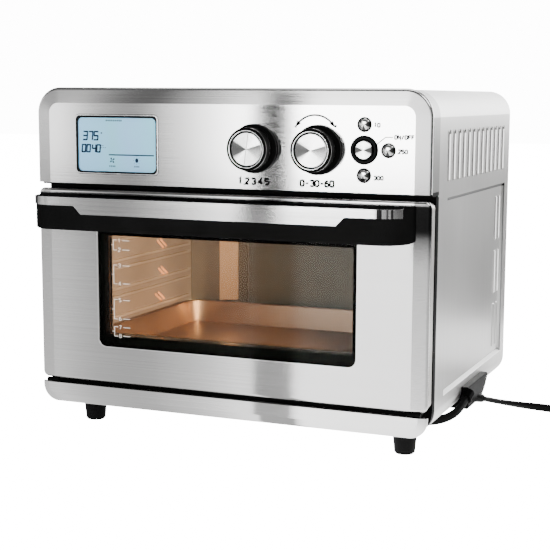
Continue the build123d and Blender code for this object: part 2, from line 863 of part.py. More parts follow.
# Control fascia: pressed skin with a sloped border and a rolled edge
buttons = {
    "light_button": (start_x, start_z + button_offset),
    "temp_time_button": (start_x + button_offset, start_z),
    "preheat_button": (start_x, start_z - button_offset),
}
shell_thickness = front_rise + rim_lip
roll_y = front_y + border_fall
with BuildPart() as control_fascia:
    with BuildSketch(facing(rim_lip)) as outline:
        area(-half_width, half_width, fascia_bottom, height)
        fillet(outline.vertices().group_by(Axis.Y)[-1], top_corner)
    extrude(amount=shell_thickness)
    front = control_fascia.faces().sort_by(Axis.Y)[0]
    border = front.edges().sort_by(Axis.Z)[1:]
    chamfer(border, length=border_width, length2=border_fall, reference=front)
    fillet(control_fascia.edges().filter_by_position(Axis.Y, roll_y, roll_y), roll_radius)
    offset(amount=-skin, openings=control_fascia.faces().sort_by(Axis.Y)[-1])
    with BuildSketch(facing(-front_rise)):
        with Locations((display_x, display_z)):
            RectangleRounded(display_width + 2 * panel_fit, display_height + 2 * panel_fit, display_corner)
        with Locations([(x, knob_z) for x in knob_xs]):
            Circle(shaft_radius + shaft_clear)
        with Locations(list(buttons.values())):
            Circle(button_radius + button_fit)
        with Locations((start_x, start_z)):
            Circle(start_cap_radius + button_fit)
    extrude(amount=-skin, mode=Mode.SUBTRACT)
control_fascia.part.label = "control_fascia"
export_step(control_fascia.part, "parts/control_fascia.step")

# Black carrier inside the fascia: plate, edge wall and posts for the control board
carrier_half = half_width - skin - panel_fit
board_low = fascia_bottom + skin + board_margin
board_high = height - top_corner
with BuildPart() as fascia_carrier:
    with BuildSketch(facing(carrier_depth)) as outline:
        area(-carrier_half, carrier_half, fascia_bottom + skin + panel_fit, height - skin - panel_fit)
        fillet(outline.vertices().group_by(Axis.Y)[-1], top_corner - skin - panel_fit)
        with Locations([(x, knob_z) for x in knob_xs]):
            Circle(shaft_radius + shaft_clear, mode=Mode.SUBTRACT)
        with Locations(list(buttons.values()) + [(start_x, start_z)]):
            Circle(stem_radius + button_fit, mode=Mode.SUBTRACT)
    extrude(amount=carrier_depth)
    with BuildSketch(facing(housing_front)) as outline:
        area(-carrier_half, carrier_half, fascia_bottom + skin + panel_fit, height - skin - panel_fit)
        fillet(outline.vertices().group_by(Axis.Y)[-1], top_corner - skin - panel_fit)
        offset(amount=-carrier_wall, mode=Mode.SUBTRACT)
    extrude(amount=housing_front - carrier_depth)
    with BuildSketch(facing(board_front)):
        with Locations((0, (board_low + board_high) / 2)):
            tall = board_high - board_low
            with GridLocations(2 * (board_half - board_margin), tall - 2 * post_radius, 2, 2):
                Circle(post_radius)
    extrude(amount=board_front - carrier_depth)
fascia_carrier.part.label = "fascia_carrier"
export_step(fascia_carrier.part, "parts/fascia_carrier.step")

# Control board with the rotary encoders and the push switches on its front
with BuildPart() as control_board:
    with BuildSketch(facing(board_front)):
        area(-board_half, board_half, board_low, board_high)
    extrude(amount=-board_thickness)
control_board.part.label = "control_board"
export_step(control_board.part, "parts/control_board.step")
with BuildPart() as knob_encoders:
    with BuildSketch(facing(board_front)):
        with Locations([(x, knob_z) for x in knob_xs]):
            Rectangle(encoder_side, encoder_side)
            Circle(shaft_radius + shaft_fit, mode=Mode.SUBTRACT)
    extrude(amount=board_front - carrier_depth)
knob_encoders.part.label = "knob_encoders"
export_step(knob_encoders.part, "parts/knob_encoders.step")
switch_front = stem_end + button_travel + switch_gap
with BuildPart() as push_switches:
    with BuildSketch(facing(board_front)):
        with Locations(list(buttons.values()) + [(start_x, start_z)]):
            Rectangle(switch_side, switch_side)
    extrude(amount=board_front - switch_front)
push_switches.part.label = "push_switches"
export_step(push_switches.part, "parts/push_switches.step")

# Display: bezel ring, lens and the module behind it
lens_width = display_width - 2 * bezel_border
lens_height = display_height - 2 * bezel_border
with BuildPart() as display_bezel:
    with BuildSketch(facing(core_front)):
        with Locations((display_x, display_z)):
            RectangleRounded(display_width, display_height, display_corner - panel_fit)
            RectangleRounded(lens_width, lens_height, display_corner - bezel_border, mode=Mode.SUBTRACT)
    extrude(amount=front_rise + bezel_proud)
    fillet(display_bezel.faces().sort_by(Axis.Y)[0].outer_wire().edges(), bezel_proud / 2)
display_bezel.part.label = "display_bezel"
export_step(display_bezel.part, "parts/display_bezel.step")
with BuildPart() as display_lens:
    with BuildSketch(facing(-front_rise + lens_thickness)):
        with Locations((display_x, display_z)):
            RectangleRounded(lens_width, lens_height, display_corner - bezel_border)
    extrude(amount=lens_thickness)
display_lens.part.label = "display_lens"
export_step(display_lens.part, "parts/display_lens.step")
with BuildPart() as display_module:
    with BuildSketch(facing(core_front)):
        with Locations((display_x, display_z)):
            RectangleRounded(lens_width, lens_height, display_corner - bezel_border)
    extrude(amount=front_rise - lens_thickness)
display_module.part.label = "display_module"
export_step(display_module.part, "parts/display_module.step")


def turned(x, z, profile):
    """Solid turned about the line to the front through x, z. The profile is radius and depth pairs."""
    with BuildPart() as solid_made:
        with BuildSketch(Plane(origin=(x, rim_y, z), x_dir=(1, 0, 0), z_dir=(0, 0, 1))):
            with BuildLine():
                Polyline(*profile, close=True)
            make_face()
        revolve(axis=Axis((x, rim_y, z), (0, 1, 0)))
    return solid_made


# Knobs: skirted body with its shaft, and a spun cap let into its face
knob_back = -front_rise - knob_gap
knob_face = -front_rise - knob_depth
knob_names = ("function_knob", "temperature_knob")
for name, x in zip(knob_names, knob_xs):
    knob = turned(
        x,
        knob_z,
        [
            (0, board_front - knob_gap),
            (shaft_radius, board_front - knob_gap),
            (shaft_radius, knob_back),
            (knob_skirt_radius, knob_back),
            (knob_skirt_radius, knob_back - knob_skirt_depth + knob_bevel),
            (knob_skirt_radius - knob_bevel, knob_back - knob_skirt_depth),
            (knob_radius, knob_back - knob_skirt_depth),
            (knob_radius - knob_draft, knob_face + knob_bevel),
            (knob_radius - knob_draft - knob_bevel, knob_face),
            (cap_radius + panel_fit, knob_face + knob_dish),
            (cap_radius, knob_face + knob_dish + cap_depth),
            (0, knob_face + knob_dish + cap_depth),
        ],
    )
    knob.part.label = name
    export_step(knob.part, f"parts/{name}.step")
    cap = turned(
        x,
        knob_z,
        [
            (0, knob_face + knob_dish + cap_depth),
            (cap_radius, knob_face + knob_dish + cap_depth),
            (cap_radius, knob_face + knob_dish),
            (0, knob_face + knob_dish),
        ],
    )
    cap.part.label = f"{name}_cap"
    export_step(cap.part, f"parts/{name}_cap.step")

# Domed push buttons, each with a stem towards its switch
button_back = core_front - button_travel - button_clear
button_face = -front_rise - button_rim
button_dome = button_proud - button_rim
for name, (x, z) in buttons.items():
    button = turned(
        x,
        z,
        [
            (0, stem_end),
            (stem_radius, stem_end),
            (stem_radius, button_back),
            (button_radius, button_back),
            (button_radius, button_face),
            (button_radius * cos(pi / 6), button_face - button_dome * sin(pi / 6)),
            (button_radius * cos(pi / 3), button_face - button_dome * sin(pi / 3)),
            (0, -front_rise - button_proud),
        ],
    )
    button.part.label = name
    export_step(button.part, f"parts/{name}.step")

# Start button with its black ring
start_button = turned(
    start_x,
    start_z,
    [
        (0, stem_end),
        (stem_radius, stem_end),
        (stem_radius, button_back),
        (start_cap_radius, button_back),
        (start_cap_radius, -front_rise - start_proud),
        (start_cap_radius - button_rim, -front_rise - start_proud - button_rim),
        (0, -front_rise - start_proud - button_rim),
    ],
)
start_button.part.label = "start_button"
export_step(start_button.part, "parts/start_button.step")
start_ring = turned(
    start_x,
    start_z,
    [
        (start_cap_radius + button_fit, -front_rise),
        (start_ring_radius, -front_rise),
        (start_ring_radius, -front_rise - button_rim),
        (start_ring_radius - ring_slope, -front_rise - ring_proud),
        (start_cap_radius + button_fit + ring_slope, -front_rise - ring_proud),
        (start_cap_radius + button_fit, -front_rise - button_rim),
    ],
)
start_ring.part.label = "start_ring"
export_step(start_ring.part, "parts/start_ring.step")

# Lower trim under the door
with BuildPart() as lower_trim:
    with BuildSketch(facing(rim_lip)) as outline:
        area(-half_width, half_width, foot_height, trim_top)
        fillet(outline.vertices().group_by(Axis.Y)[0], trim_corner)
    extrude(amount=shell_thickness)
    front = lower_trim.faces().sort_by(Axis.Y)[0]
    border = front.edges().sort_by(Axis.Z)[:-1]
    chamfer(border, length=trim_border, length2=border_fall, reference=front)
    fillet(lower_trim.edges().filter_by_position(Axis.Y, roll_y, roll_y), roll_radius)
    with BuildSketch(facing(rim_lip)) as outline:
        area(-half_width + skin, half_width - skin, foot_height + skin, trim_top - skin)
        fillet(outline.vertices().group_by(Axis.Y)[0], trim_corner - skin)
    extrude(amount=rim_lip, mode=Mode.SUBTRACT)
    # Two legs run back to the front frame, which carries the trim
    with BuildSketch(facing(frame_front)):
        for side in (-1, 1):
            with Locations((side * trim_leg_x, (foot_height + trim_top) / 2)):
                Rectangle(trim_leg, trim_leg / 2)
    extrude(amount=frame_front - core_front)
lower_trim.part.label = "lower_trim"
export_step(lower_trim.part, "parts/lower_trim.step")

# Door panel: pressed skin like the fascia, hollow behind, with the window opening
with BuildPart() as door_panel:
    with BuildSketch(facing(rim_lip)):
        area(-half_width, half_width, door_bottom, door_top)
    extrude(amount=shell_thickness)
    front = door_panel.faces().sort_by(Axis.Y)[0]
    chamfer(front.edges().filter_by(Axis.Z), length=border_width, length2=border_fall, reference=front)
    fillet(door_panel.edges().filter_by(Axis.Y), door_corner)
    fronts = door_panel.faces().filter_by(lambda face: face.normal_at().Y < -border_slope)
    creases = door_panel.edges().filter_by(Axis.Z).filter_by_position(Axis.Y, front_y, front_y)
    rolled = fronts.edges().filter_by(lambda edge: edge not in creases)
    fillet(rolled, roll_radius)
    with BuildSketch(facing(rim_lip)):
        area(
            -half_width + skin,
            half_width - skin,
            door_bottom + skin,
            door_top - skin,
            door_corner - skin,
        )
    extrude(amount=rim_lip - core_front, mode=Mode.SUBTRACT)
    with BuildSketch(facing(core_front)):
        area(
            -half_width + border_width + skin,
            half_width - border_width - skin,
            door_bottom + roll_radius + skin,
            door_top - roll_radius - skin,
        )
    extrude(amount=front_rise - skin + core_front, mode=Mode.SUBTRACT)
    with BuildSketch(facing(core_front)):
        area(-window_half, window_half, window_low, window_high, window_corner)
    extrude(amount=front_rise + core_front, mode=Mode.SUBTRACT)
    fillet(
        door_panel.faces().sort_by(Axis.Y)[0].inner_wires().edges(),
        skin * window_roll,
    )
    with BuildSketch(facing(-front_rise + skin)):
        with Locations([(side * handle_screw_x, handle_mid) for side in (-1, 1)]):
            Circle(screw_hole)
    extrude(amount=skin, mode=Mode.SUBTRACT)
door_panel.part.label = "door_panel"
export_step(door_panel.part, "parts/door_panel.step")

# Outer glass behind the window opening
glass_half = window_half + glass_lap
glass_low = window_low - glass_lap
glass_high = window_high + glass_lap
glass_rear = -front_rise + skin + glass_thickness
with BuildPart() as outer_glass:
    with BuildSketch(facing(glass_rear)):
        area(-glass_half, glass_half, glass_low, glass_high, window_corner)
    extrude(amount=glass_thickness)
outer_glass.part.label = "outer_glass"
export_step(outer_glass.part, "parts/outer_glass.step")

# Black core between the outer and the inner panel
core_inset = skin + panel_fit
with BuildPart() as door_core:
    with BuildSketch(facing(inner_pan_front)):
        area(
            -half_width + core_inset,
            half_width - core_inset,
            door_bottom + core_inset,
            door_top - core_inset,
            door_corner - core_inset,
        )
        area(
            -glass_half - panel_fit,
            glass_half + panel_fit,
            glass_low - panel_fit,
            glass_high + panel_fit,
            window_corner,
            mode=Mode.SUBTRACT,
        )
        with Locations([(side * handle_screw_x, handle_mid) for side in (-1, 1)]):
            Circle(screw_hole, mode=Mode.SUBTRACT)
    extrude(amount=inner_pan_front - core_front)
    with BuildSketch(facing(core_front)):
        with Locations([(side * handle_screw_x, handle_mid) for side in (-1, 1)]):
            Circle(boss_radius)
            Circle(screw_hole, mode=Mode.SUBTRACT)
    extrude(amount=front_rise - skin + core_front)
door_core.part.label = "door_core"
export_step(door_core.part, "parts/door_core.step")

# Black window frame: border behind the outer glass and tunnel to the inner glass
inner_glass_rear = inner_pan_rear - sheet
inner_glass_front = inner_glass_rear - inner_glass_thickness
with BuildPart() as window_frame:
    with BuildSketch(facing(inner_glass_front)):
        area(-glass_half, glass_half, glass_low, glass_high, window_corner)
        area(-clear_half, clear_half, clear_low, clear_high, clear_corner, mode=Mode.SUBTRACT)
    extrude(amount=inner_glass_front - glass_rear)
    with BuildSketch(facing(inner_glass_front)):
        area(-glass_half, glass_half, glass_low, glass_high, window_corner)
        area(
            -clear_half - frame_rib,
            clear_half + frame_rib,
            clear_low - frame_rib,
            clear_high + frame_rib,
            clear_corner + frame_rib,
            mode=Mode.SUBTRACT,
        )
    extrude(amount=inner_glass_front - inner_pan_front, mode=Mode.SUBTRACT)
window_frame.part.label = "window_frame"
export_step(window_frame.part, "parts/window_frame.step")

# Inner door panel: steel pan with the opening for the inner glass
inner_half_width = half_width - inner_pan_inset
with BuildPart() as door_inner_panel:
    with BuildSketch(facing(inner_pan_rear)):
        area(-inner_half_width, inner_half_width, door_bottom, door_top - inner_pan_inset, door_corner)
    extrude(amount=inner_pan_rear - inner_pan_front)
    offset(amount=-sheet, openings=door_inner_panel.faces().sort_by(Axis.Y)[0])
    with BuildSketch(facing(inner_pan_rear)):
        area(-clear_half, clear_half, clear_low, clear_high, clear_corner)
    extrude(amount=sheet, mode=Mode.SUBTRACT)
door_inner_panel.part.label = "door_inner_panel"
export_step(door_inner_panel.part, "parts/door_inner_panel.step")
with BuildPart() as inner_glass:
    with BuildSketch(facing(inner_glass_rear)):
        area(
            -clear_half - inner_glass_lap,
            clear_half + inner_glass_lap,
            clear_low - inner_glass_lap,
            clear_high + inner_glass_lap,
            clear_corner,
        )
    extrude(amount=inner_glass_thickness)
inner_glass.part.label = "inner_glass"
export_step(inner_glass.part, "parts/inner_glass.step")

# Door seal on the rear of the inner panel, round the mouth of the chamber
with BuildPart() as door_seal:
    with BuildSketch(facing(frame_front - seal_gap)):
        area(
            -mouth_half - seal_overlap - seal_width,
            mouth_half + seal_overlap + seal_width,
            door_bottom + skin,
            mouth_high + seal_overlap + seal_width,
            door_corner,
        )
        area(
            -mouth_half - seal_overlap,
            mouth_half + seal_overlap,
            door_bottom + skin + seal_width,
            mouth_high + seal_overlap,
            door_corner - seal_width / 2,
            mode=Mode.SUBTRACT,
        )
    extrude(amount=frame_front - seal_gap - inner_pan_rear)
door_seal.part.label = "door_seal"
export_step(door_seal.part, "parts/door_seal.step")

# Handle bar with curved ends, seen from above
bar_front = rim_y - handle_reach + strip_thickness
bar_rear = bar_front + handle_bar


def handle_front(grow):
    """Corners of the handle's outer side, grown by a thickness."""
    near = bar_front - grow
    ends = [(-leg_outer - grow, front_y), (-handle_half - grow, near)]
    return ends + [(-x, y) for x, y in reversed(ends)]


with BuildPart() as handle_bar_solid:
    with BuildSketch(level(handle_low)) as outline:
        with BuildLine():
            Polyline(
                *handle_front(0),
                (leg_inner, front_y),
                (leg_shoulder, bar_rear),
                (-leg_shoulder, bar_rear),
                (-leg_inner, front_y),
                close=True,
            )
        make_face()
        fillet(outline.vertices().group_by(Axis.Y)[0], handle_bend)
    extrude(amount=handle_high - handle_low)
    with BuildSketch(facing(-front_rise)):
        with Locations([(side * handle_screw_x, handle_mid) for side in (-1, 1)]):
            Circle(screw_radius)
    extrude(amount=handle_screw_depth, mode=Mode.SUBTRACT)
    fillet(handle_bar_solid.faces().sort_by(Axis.Z)[0].edges(), handle_edge)
handle_bar_solid.part.label = "handle_bar"
export_step(handle_bar_solid.part, "parts/handle_bar.step")

# Steel strip on the front of the handle, deeper between its two steps
strip_low = handle_high - strip_mid_height
strip_shoulder = handle_high - strip_end_height
strip_rise = strip_shoulder - strip_low
with BuildPart() as handle_strip:
    with BuildSketch(level(strip_low)) as outline:
        with BuildLine():
            Polyline(*handle_front(strip_thickness), close=True)
        make_face()
        fillet(outline.vertices().group_by(Axis.Y)[0], handle_bend + strip_thickness)
    extrude(amount=strip_mid_height)
    with BuildSketch(level(strip_low)) as outline:
        with BuildLine():
            Polyline(*handle_front(0), close=True)
        make_face()
        fillet(outline.vertices().group_by(Axis.Y)[0], handle_bend)
    extrude(amount=strip_mid_height, mode=Mode.SUBTRACT)
    with BuildSketch(level(strip_low)):
        for side in (-1, 1):
            with Locations((side * (strip_half + half_width) / 2, front_y)):
                Rectangle(half_width - strip_half, 2 * handle_reach)
    extrude(amount=strip_mid_height, mode=Mode.SUBTRACT)
    with BuildSketch(facing(-front_rise)):
        for side in (-1, 1):
            with BuildLine():
                Polyline(
                    (side * strip_step_x, strip_low),
                    (side * (strip_step_x + strip_rise), strip_shoulder),
                    (side * half_width, strip_shoulder),
                    (side * half_width, strip_low),
                    close=True,
                )
            make_face()
    extrude(amount=handle_reach, mode=Mode.SUBTRACT)
handle_strip.part.label = "handle_strip"
export_step(handle_strip.part, "parts/handle_strip.step")

# Screws from inside the door into the handle legs
with BuildPart() as handle_screws:
    with BuildSketch(facing(inner_pan_front + screw_head)):
        with Locations([(side * handle_screw_x, handle_mid) for side in (-1, 1)]):
            Circle(screw_head_radius)
    extrude(amount=screw_head)
    with BuildSketch(facing(inner_pan_front)):
        with Locations([(side * handle_screw_x, handle_mid) for side in (-1, 1)]):
            Circle(screw_radius)
    extrude(amount=inner_pan_front + front_rise + handle_screw_depth)
handle_screws.part.label = "handle_screws"
export_step(handle_screws.part, "parts/handle_screws.step")

# Hinge leaves: straps under the door with a knuckle at their front end
leaf_near = hinge_x - hinge_gap - knuckle_length
leaf_bore = pin_radius + shaft_fit
with BuildPart() as hinge_leaves:
    with BuildSketch(Plane.YZ.offset(leaf_near)):
        with Locations((rim_y + hinge_depth, hinge_height)):
            Circle(knuckle_radius)
        area(rim_y + hinge_depth, rim_y + strap_end, door_bottom - strap_thickness, door_bottom)
        with Locations((rim_y + hinge_depth, hinge_height)):
            Circle(leaf_bore, mode=Mode.SUBTRACT)
    extrude(amount=knuckle_length)
    mirror(about=Plane.YZ)
hinge_leaves.part.label = "hinge_leaves"
export_step(hinge_leaves.part, "parts/hinge_leaves.step")

# Hinge brackets: tongues from the front frame, each with its pin
with BuildPart() as hinge_brackets:
    with BuildSketch(Plane.YZ.offset(hinge_x)):
        with Locations((rim_y + hinge_depth, hinge_height)):
            Circle(knuckle_radius)
        area(
            rim_y + hinge_depth,
            rim_y + frame_front,
            hinge_height - strap_thickness / 2,
            hinge_height + strap_thickness / 2,
        )
    extrude(amount=knuckle_length)
    with BuildSketch(Plane.YZ.offset(hinge_x)):
        with Locations((rim_y + hinge_depth, hinge_height)):
            Circle(pin_radius)
    extrude(amount=-(knuckle_length + 2 * hinge_gap))
    mirror(about=Plane.YZ)
hinge_brackets.part.label = "hinge_brackets"
export_step(hinge_brackets.part, "parts/hinge_brackets.step")

# Baking tray: its lip lies on the lower ridge of the lowest pair of rails
tray_z = rail_first - rail_half_gap + rail_height / 2 + seat_gap + tray_sheet


def tray_area(grow, mode=Mode.ADD):
    """Outline of the tray's rim, grown by a width."""
    area(
        -tray_half - grow,
        tray_half + grow,
        rim_y + tray_front - grow,
        rim_y + tray_rear + grow,
        tray_corner + grow,
        mode=mode,
    )


with BuildPart() as baking_tray:
    with BuildSketch(level(tray_z)):
        tray_area(0)
    extrude(amount=-tray_deep, taper=tray_draft)
    fillet(baking_tray.faces().sort_by(Axis.Z)[0].edges(), tray_edge)
    with BuildSketch(level(tray_z)):
        tray_area(-tray_sheet)
    extrude(amount=tray_sheet - tray_deep, taper=tray_draft, mode=Mode.SUBTRACT)
    with BuildSketch(level(tray_z)):
        tray_area(tray_lip)
        tray_area(-tray_sheet, mode=Mode.SUBTRACT)
    extrude(amount=-tray_sheet)
baking_tray.part.label = "baking_tray"
export_step(baking_tray.part, "parts/baking_tray.step")

# Crumb tray on the floor of the chamber
crumb_half = mouth_half - crumb_margin
with BuildPart() as crumb_tray:
    with BuildSketch(level(mouth_low)):
        area(-crumb_half, crumb_half, rim_y + crumb_front, rim_y + chamber_rear - crumb_margin)
    extrude(amount=crumb_sheet)
    with BuildSketch(level(mouth_low)):
        area(-crumb_half, crumb_half, rim_y + crumb_front, rim_y + crumb_front + crumb_sheet)
    extrude(amount=crumb_lip)
crumb_tray.part.label = "crumb_tray"
export_step(crumb_tray.part, "parts/crumb_tray.step")


def routed(points):
    """Points of a cord, whose second number is a depth, in the oven's own frame."""
    return [Vector(x, rim_y + depth, z) for x, depth, z in points]


def bend_radii(points):
    """Largest radius that each corner's two runs leave room for."""
    radii = []
    for before, corner, after in zip(points, points[1:], points[2:]):
        turn = radians((corner - before).get_angle(after - corner))
        run = min((corner - before).length, (after - corner).length)
        radii.append(bend_share * run / tan(turn / 2))
    return radii


def cord_tube(points):
    radii = bend_radii(points)
    with BuildPart() as tube:
        with BuildLine():
            path = FilletPolyline(*points, radius=radii)
        with BuildSketch(Plane(origin=path @ 0, z_dir=path % 0)):
            Circle(cord_diameter / 2)
        sweep(path=path)
    expected = pi * cord_diameter**2 / 4 * path.length
    print("cord radii", [round(radius, 1) for radius in radii])
    print("cord length", round(path.length, 1), "volume share", round(tube.part.volume / expected, 4))
    return tube


# Cord anchor on the lower right flank, with the collar of the lead and the relief of the free cord
lead_points = routed(lead_route)
cord_points = routed(cord_route)
lead_end = Plane(origin=lead_points[-1], z_dir=lead_points[-1] - lead_points[-2])
cord_start = Plane(origin=cord_points[0], z_dir=cord_points[0] - cord_points[1])
with BuildPart() as cord_anchor:
    with BuildSketch(Plane.YZ.offset(wrap_half - block_reach)) as outline:
        with BuildLine():
            ThreePointArc(
                (rim_y + block_level, block_low),
                (rim_y + block_belly, block_belly_low),
                (rim_y + block_rear, block_tail),
            )
            Polyline(
                (rim_y + block_rear, block_tail),
                (rim_y + block_rear, block_high),
                (rim_y + block_front, block_high),
                (rim_y + block_front, block_low),
                (rim_y + block_level, block_low),
            )
        make_face()
        fillet(outline.vertices().group_by(Axis.X)[-1].sort_by(Axis.Y)[-1], block_round)
    extrude(amount=block_reach + block_thickness)
    fillet(cord_anchor.faces().sort_by(Axis.X)[-1].edges(), block_edge)
    with BuildSketch(lead_end):
        Circle(collar_radius)
    extrude(amount=collar_radius * 2)
    with BuildSketch(cord_start):
        Circle(relief_end)
    with BuildSketch(cord_start.offset(relief_length)):
        Circle(relief_radius)
    loft()
    with BuildSketch(facing(0)) as outline:
        area(0, wrap_half + block_fit, foot_height - block_fit, wrap_top)
        corner = outline.vertices().group_by(Axis.Y)[0].sort_by(Axis.X)[-1]
        fillet(corner, bottom_corner + block_fit)
    extrude(amount=-wrap_rear, mode=Mode.SUBTRACT)
cord_anchor.part.label = "cord_anchor"
export_step(cord_anchor.part, "parts/cord_anchor.step")

# Bushing under the base, where the lead comes out
lead_start = Plane(origin=lead_points[0], z_dir=lead_points[0] - lead_points[1])
with BuildPart() as cord_bushing:
    with BuildSketch(lead_start):
        Circle(bushing_radius)
    extrude(amount=bushing_length)
    with BuildSketch(level(foot_height)):
        with Locations(lead_start.offset(bushing_length / 2).origin):
            Rectangle(bushing_length / 2, bushing_width)
    extrude(amount=-bushing_radius)
cord_bushing.part.label = "cord_bushing"
export_step(cord_bushing.part, "parts/cord_bushing.step")

# Lead from the bushing to the anchor, and the free cord from the anchor to its coil
lead_cord = cord_tube(lead_points)
lead_cord.part.label = "lead_cord"
export_step(lead_cord.part, "parts/lead_cord.step")
power_cord = cord_tube(cord_points)
power_cord.part.label = "power_cord"
export_step(power_cord.part, "parts/power_cord.step")

# Coil of the spare length: it spirals in, climbs a layer in half a turn and spirals out again
heading = (cord_points[-1] - cord_points[-2]).normalized()
coil_plane = Plane(origin=cord_points[-1], x_dir=(heading.Y, -heading.X, 0), z_dir=(0, 0, 1))


def coil_point(x, y, z):
    """Point of the coil, from its middle, in the plane that its first run points along."""
    return coil_plane.from_local_coords(Vector(x - coil_radius, y + cord_diameter, z))


with BuildPart() as cord_coil:
    with BuildLine() as loops:
        Line(coil_point(coil_radius, -cord_diameter, 0), coil_point(coil_radius, 0, 0))
        x = coil_radius
        side = 1
        for half in range(coil_half_turns):
            radius = coil_radius - half * coil_step
            end = x - side * 2 * radius
            ThreePointArc(
                coil_point(x, 0, 0),
                coil_point((x + end) / 2, side * radius, 0),
                coil_point(end, 0, 0),
            )
            x = end
            side = -side
        radius = radius - coil_step / 2
        end = x - side * 2 * radius
        middle = (x + end) / 2
        crest = coil_point(middle, side * sqrt(radius**2 + coil_layer**2 / 4), coil_layer / 2)
        climb = TangentArc(coil_point(x, 0, 0), crest, tangent=side * heading)
        TangentArc(crest, coil_point(end, 0, coil_layer), tangent=climb % 1)
        x = end
        side = -side
        for half in range(coil_half_turns):
            radius = coil_radius - (coil_half_turns - 1 - half) * coil_step
            end = x - side * 2 * radius
            ThreePointArc(
                coil_point(x, 0, coil_layer),
                coil_point((x + end) / 2, side * radius, coil_layer),
                coil_point(end, 0, coil_layer),
            )
            x = end
            side = -side
        coil_exit = coil_point(x, side * cord_diameter, coil_layer)
        Line(coil_point(x, 0, coil_layer), coil_exit)
    path = loops.wire()
    with BuildSketch(Plane(origin=path @ 0, z_dir=path % 0)):
        Circle(cord_diameter / 2)
    sweep(path=path)
cord_coil.part.label = "cord_coil"
export_step(cord_coil.part, "parts/cord_coil.step")
coil_length = path.length
steps = int(coil_length / coil_sample)
samples = [path @ (i / steps) for i in range(steps + 1)]
apart = int(coil_apart * cord_diameter / coil_sample)
least = min((a - b).length for i, a in enumerate(samples) for b in samples[i + apart :])
expected = pi * cord_diameter**2 / 4 * coil_length
print("coil length", round(coil_length, 1), "volume share", round(cord_coil.part.volume / expected, 4))
print("coil least gap to itself", round(least - cord_diameter, 2))

# Tie round the two layers, across from the climb
tie_x = -coil_step / 2
tie_y = -(coil_radius - coil_step)
tie_plane = Plane(
    origin=coil_point(tie_x - tie_width / 2, tie_y, coil_layer / 2),
    x_dir=heading,
    z_dir=coil_plane.x_dir,
)
tie_span = cord_diameter + 2 * tie_slack
tie_rise = cord_diameter + coil_layer + 2 * tie_fit
with BuildPart() as cord_tie:
    with BuildSketch(tie_plane):
        RectangleRounded(tie_span + 2 * tie_thickness, tie_rise + 2 * tie_thickness, tie_span / 2)
        RectangleRounded(tie_span, tie_rise, tie_span / 2 - tie_thickness, mode=Mode.SUBTRACT)
    extrude(amount=tie_width)
cord_tie.part.label = "cord_tie"
export_step(cord_tie.part, "parts/cord_tie.step")

# Plug at the end of the coil: relief, body and two flat pins
plug_plane = Plane(origin=coil_exit, x_dir=coil_plane.x_dir, z_dir=side * heading)
with BuildPart() as power_plug:
    with BuildSketch(plug_plane):
        Circle(relief_end)
    with BuildSketch(plug_plane.offset(plug_relief)):
        Circle(relief_radius)
    loft()
    with BuildSketch(plug_plane.offset(plug_relief)):
        RectangleRounded(plug_width, plug_height, plug_corner)
    extrude(amount=plug_length)
    fillet(power_plug.faces().filter_by(GeomType.PLANE).sort_by(SortBy.AREA)[-2:].edges(), plug_edge)
    with BuildSketch(plug_plane.offset(plug_relief + plug_length)):
        for side in (-1, 1):
            with Locations((side * pin_gap / 2, 0)):
                Rectangle(pin_thickness, pin_width)
    extrude(amount=pin_length)
power_plug.part.label = "power_plug"
export_step(power_plug.part, "parts/power_plug.step")
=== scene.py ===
import math

import bmesh
import bpy
from mathutils import Matrix, Vector


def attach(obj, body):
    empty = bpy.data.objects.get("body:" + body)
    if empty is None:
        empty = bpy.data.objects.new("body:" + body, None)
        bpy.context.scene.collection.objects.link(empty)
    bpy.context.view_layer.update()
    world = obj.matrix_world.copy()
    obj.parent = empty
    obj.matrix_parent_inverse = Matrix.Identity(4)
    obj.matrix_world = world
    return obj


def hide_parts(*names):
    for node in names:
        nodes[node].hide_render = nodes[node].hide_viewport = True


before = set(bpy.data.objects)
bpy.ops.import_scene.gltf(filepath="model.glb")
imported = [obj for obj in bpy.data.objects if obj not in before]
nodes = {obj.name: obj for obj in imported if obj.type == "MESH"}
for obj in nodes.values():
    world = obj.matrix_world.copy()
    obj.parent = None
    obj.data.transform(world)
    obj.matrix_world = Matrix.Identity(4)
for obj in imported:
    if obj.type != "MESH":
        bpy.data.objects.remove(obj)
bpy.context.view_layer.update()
print("frame loaded")


cameraSet = {
    "azimuth": 21.7727,
    "elevation": 8.1446,
    "roll": 0.3437,
    "place": (0.5031, -1.2081, 0.3309),
    "lens": 83.6,
    "sensor": 36.0,
    "shiftX": -0.0392,
    "shiftY": 0.0069,
}


def placeCamera(s):
    azimuth = math.radians(s["azimuth"])
    elevation = math.radians(s["elevation"])
    roll = math.radians(s["roll"])
    level = math.cos(elevation)
    back = Vector((math.sin(azimuth) * level, -math.cos(azimuth) * level, math.sin(elevation)))
    right = Vector((math.cos(azimuth), math.sin(azimuth), 0.0))
    up = back.cross(right)
    across = right * math.cos(roll) + up * math.sin(roll)
    upward = up * math.cos(roll) - right * math.sin(roll)
    data = bpy.data.cameras.new("photoCamera")
    data.lens = s["lens"]
    data.sensor_width = s["sensor"]
    data.shift_x = s["shiftX"]
    data.shift_y = s["shiftY"]
    camera = bpy.data.objects.new("photoCamera", data)
    bpy.context.collection.objects.link(camera)
    turn = Matrix((across, upward, back)).transposed().to_4x4()
    camera.matrix_world = Matrix.Translation(s["place"]) @ turn
    bpy.context.scene.camera = camera


placeCamera(cameraSet)
print("camera placed")


noiseSpan = (0.25, 0.75)  # noise stays mostly inside this
toneSpan = (0.3, 0.7)
bumpDepths = {"brushed": 0.0002, "soft": 0.0003, "plastic": 0.0002, "spun": 0.0001}
inkShine = 0.03
mixSockets = {"under": 6, "over": 7, "result": 2}  # the colour sockets of a Mix node


def evenly(value):
    return (value, value, value)


